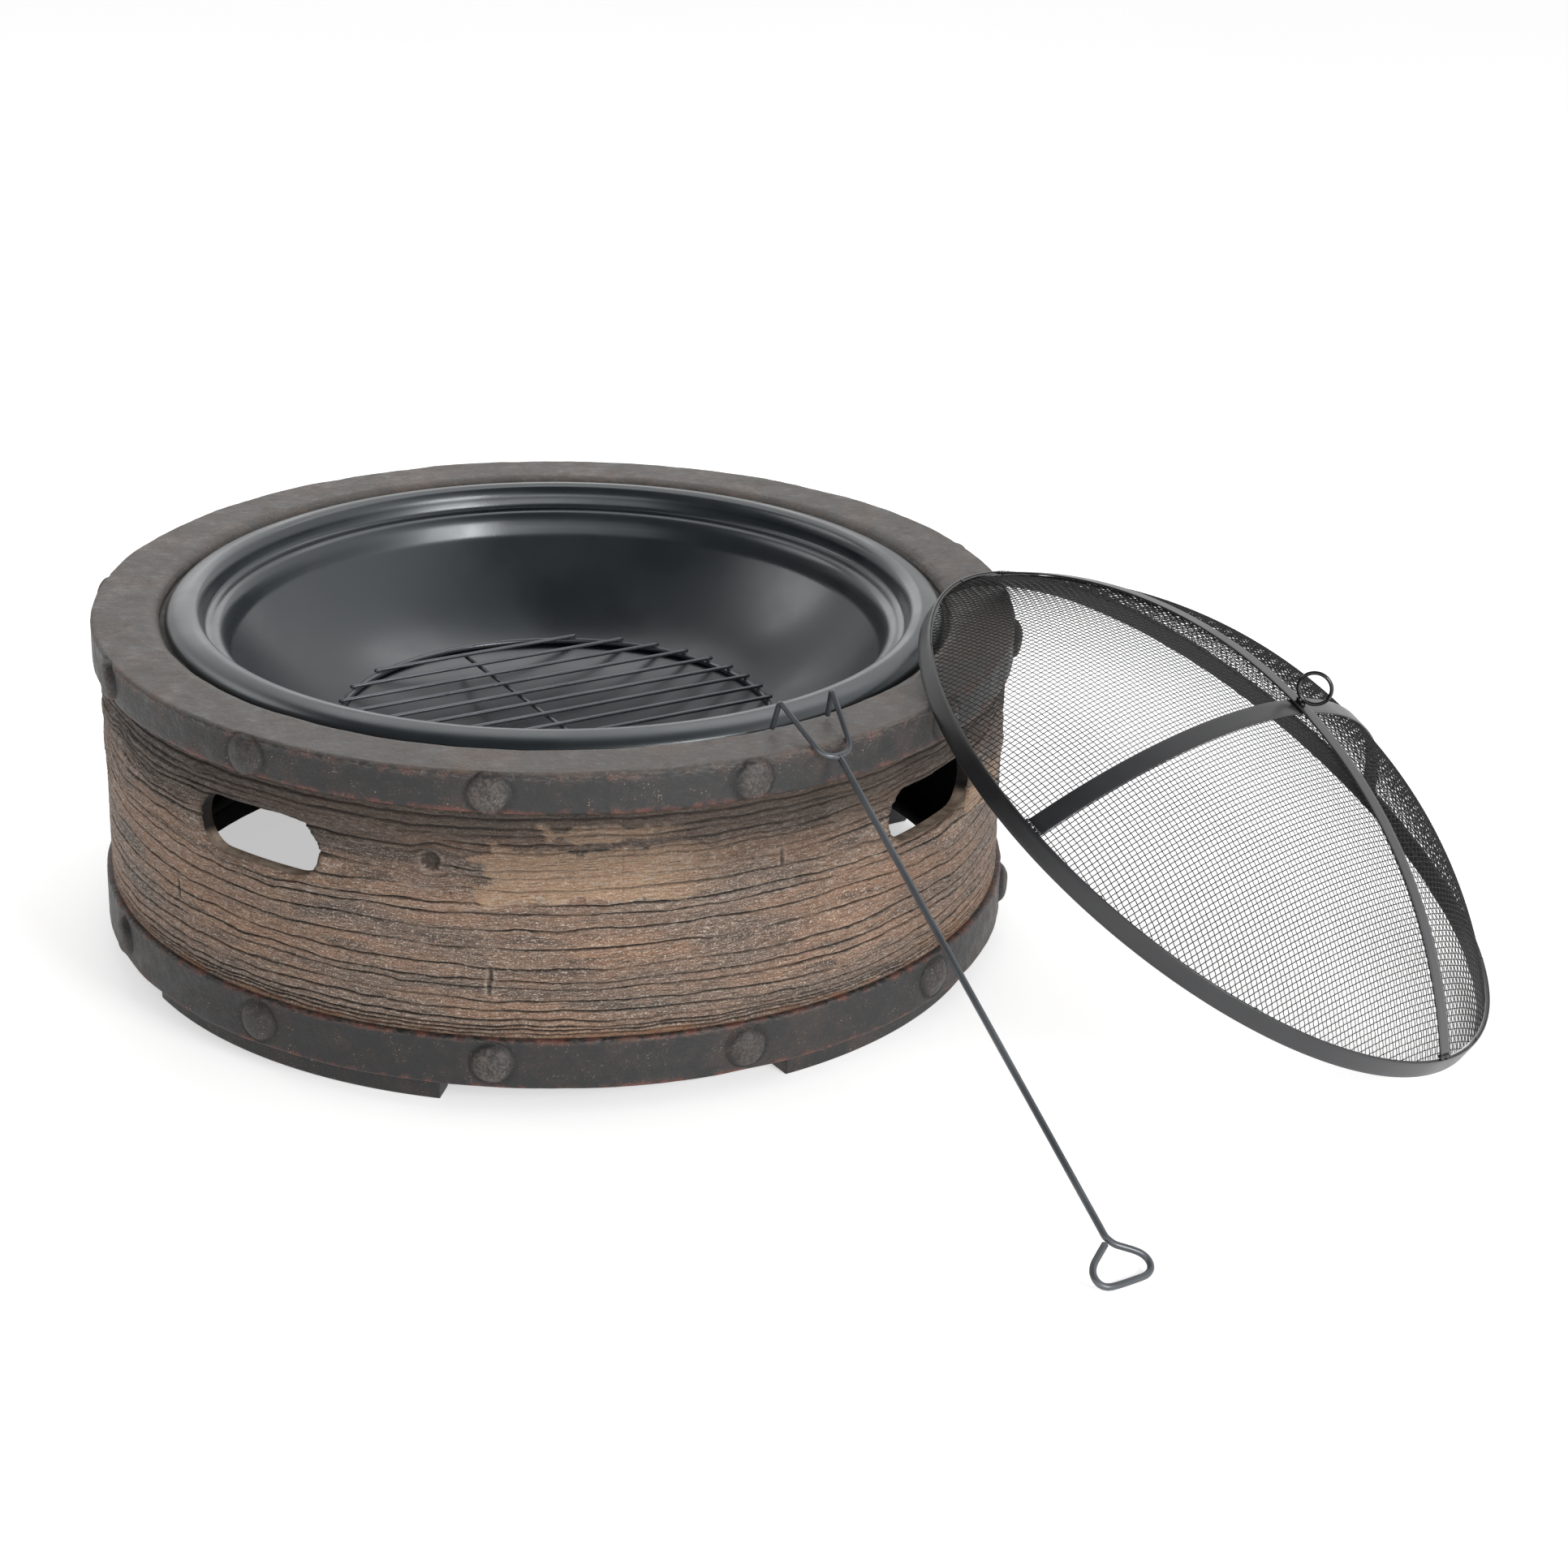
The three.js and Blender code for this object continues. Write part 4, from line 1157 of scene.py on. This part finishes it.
# ---- Poker, made flat: rod along -Y, fork along +Y, tines down ----

POKER = Matrix.Translation(PIT + POKER_PLACE) @ turned(POKER_HEADING) @ turned(POKER_SLOPE, "X")


def bent_path(corners, bends, step):
    """Straight runs between corners, each corner rounded over the size given for it."""
    corners = [np.array(c, float) for c in corners]
    points = [corners[0]]
    for before, corner, after, size in zip(corners, corners[1:], corners[2:], bends):
        start = corner + (before - corner) / np.linalg.norm(before - corner) * size
        end = corner + (after - corner) / np.linalg.norm(after - corner) * size
        for t in np.linspace(0, 1, 13):
            points.append((1 - t) ** 2 * start + 2 * t * (1 - t) * corner + t * t * end)
    return dense(points + [corners[-1]], step, closed=False) + [corners[-1]]


def poker():
    straight = stacked(0, -ROD_LENGTH * np.linspace(0, 1, 40), 0)
    loop = smooth_curve([straight[-1]] + [np.array([x, y, 0]) * MM for x, y in LOOP], 4)
    path = np.concatenate([straight, loop[1:]])
    rod = swept_mesh(path, circle_section(ROD_WIRE, 16), end_round=1.0 * MM)
    half = [
        (FORK_HALF_WIDTH + 2 * MM, FORK_LENGTH - TINE_SET_BACK, -TINE_LENGTH),
        (FORK_HALF_WIDTH, FORK_LENGTH, 0),
        (FORK_ROOT_HALF_WIDTH, FORK_WIRE + 0.3 * MM, 0),
    ]
    corners = [(-x, y, z) for x, y, z in half] + half[::-1]
    path = bent_path(corners, (5 * MM, 14 * MM, 14 * MM, 5 * MM), 4 * MM)
    fork = swept_mesh(path, circle_section(FORK_WIRE, 16), end_round=1.6 * MM)
    weld = beads(
        ((4.2, 3.0, 3.2), 5, 0.12, (0, 0.4, 0)),
        ((2.6, 2.2, 2.6), 6, 0.12, (3.5, 1.8, 0)),
        ((2.6, 2.2, 2.6), 7, 0.12, (-3.5, 1.8, 0)),
    )
    for name, part, nodes in (
        ("poker_bent_rod", rod, ["poker_rod"]),
        ("poker_bent_fork", fork, ["poker_fork"]),
        ("poker_weld", weld, []),
    ):
        place(new_object(name, *moved(part, POKER), POKER_PAINT), "poker", nodes)


# ---- Floor, light and camera ----


def floor():
    """Plain white studio floor, with a little light of its own so that it stays white."""
    paint = Paint("studio_floor", roughness=0.8, specular=0.1)
    paint.cloudy(paint.noise(paint.places(), 1.5, detail=2), (240, 240, 240), (244, 244, 244))
    paint.surface.inputs["Emission Color"].default_value = (1, 1, 1, 1)
    paint.surface.inputs["Emission Strength"].default_value = 0.52
    size = 30
    corners = [(-size, -size, 0), (size, -size, 0), (size, size, 0), (-size, size, 0)]
    new_object("studio_floor", corners, [[0, 1, 2, 3]], paint.finish(), smooth=False)


def area_light(name, spot, size, power):
    """A soft lamp at a place from the pit's axis, turned to the middle of the pit."""
    lamp = bpy.data.lights.new(name, "AREA")
    lamp.shape = "RECTANGLE"
    lamp.size, lamp.size_y = size
    lamp.energy = power
    holder = bpy.data.objects.new(name, lamp)
    holder.location = PIT + Vector(spot)
    to_middle = Vector((0, 0, 0.25)) - Vector(spot)
    holder.rotation_euler = to_middle.to_track_quat("-Z", "Y").to_euler()
    bpy.context.scene.collection.objects.link(holder)


def light():
    """A white room, dim high up, with soft lamps at the front, the left and over the back."""
    world = bpy.data.worlds.new("studio")
    bpy.context.scene.world = world
    world.use_nodes = True
    nodes, links = world.node_tree.nodes, world.node_tree.links
    lean = nodes.new("ShaderNodeVectorMath")
    lean.operation = "DOT_PRODUCT"
    links.new(nodes.new("ShaderNodeTexCoord").outputs["Generated"], lean.inputs[0])
    lean.inputs[1].default_value = (-0.7, -0.45, 1)
    fall = nodes.new("ShaderNodeMapRange")
    fall.interpolation_type = "SMOOTHSTEP"
    links.new(lean.outputs["Value"], fall.inputs["Value"])
    for socket, number in (("From Min", 0.2), ("From Max", 0.95), ("To Min", 1.0), ("To Max", 0.16)):
        fall.inputs[socket].default_value = number
    links.new(fall.outputs["Result"], nodes["Background"].inputs["Strength"])
    nodes["Background"].inputs["Color"].default_value = (1, 1, 1, 1)
    area_light("key", (2.4, -2.7, 1.35), (1.1, 1.2), 66)
    area_light("front", (-0.2, -4.2, 1.1), (4.5, 1.1), 34)
    area_light("top_back", (0, 1.7, 2.9), (3.0, 1.2), 17)
    area_light("back", (-0.7, 3.4, 1.5), (2.4, 0.9), 8)
    area_light("left", (-2.6, 0.9, 2.2), (1.8, 1.2), 16)


CAMERA_FROM_PIT = Vector((224.8, -3073.7, 1428.7)) * MM
CAMERA_PITCH = 22.79
CAMERA_ROLL = 1.43
CAMERA_LENS = 77.1


def camera():
    eye = bpy.data.cameras.new("camera")
    eye.sensor_width = 36
    eye.lens = CAMERA_LENS
    holder = bpy.data.objects.new("camera", eye)
    bpy.context.scene.collection.objects.link(holder)
    turn = turned(90 - CAMERA_PITCH, "X") @ turned(CAMERA_ROLL)
    holder.matrix_world = Matrix.Translation(PIT + CAMERA_FROM_PIT) @ turn
    bpy.context.scene.camera = holder
    bpy.context.scene.view_settings.view_transform = "Standard"


camera()
light()
floor()
for quarter, side in enumerate(("front_left", "right", "back_right", "back_left")):
    wall_quarter(quarter, "wall_" + side)
collar()
band()
for number in (1, 2, 3, 4):
    foot(number)
bowl()
grate()
flat_ring("hoop", "screen_hoop", HOOP_RADIUS, 0, HOOP_WIDTH, HOOP_THICKNESS)
flat_ring("clamp_ring", "screen_clamp_ring", CLAMP_RADIUS, -0.3 * MM, CLAMP_WIDTH, CLAMP_THICKNESS)
mesh_dome()
strap("strap_lower", LOWER_STRAP, STRAP_AZIMUTH, "screen_strap_lower")
strap("strap_upper", UPPER_STRAP, STRAP_AZIMUTH - 90, "screen_strap_upper")
screen_welds()
ring_handle()
poker()
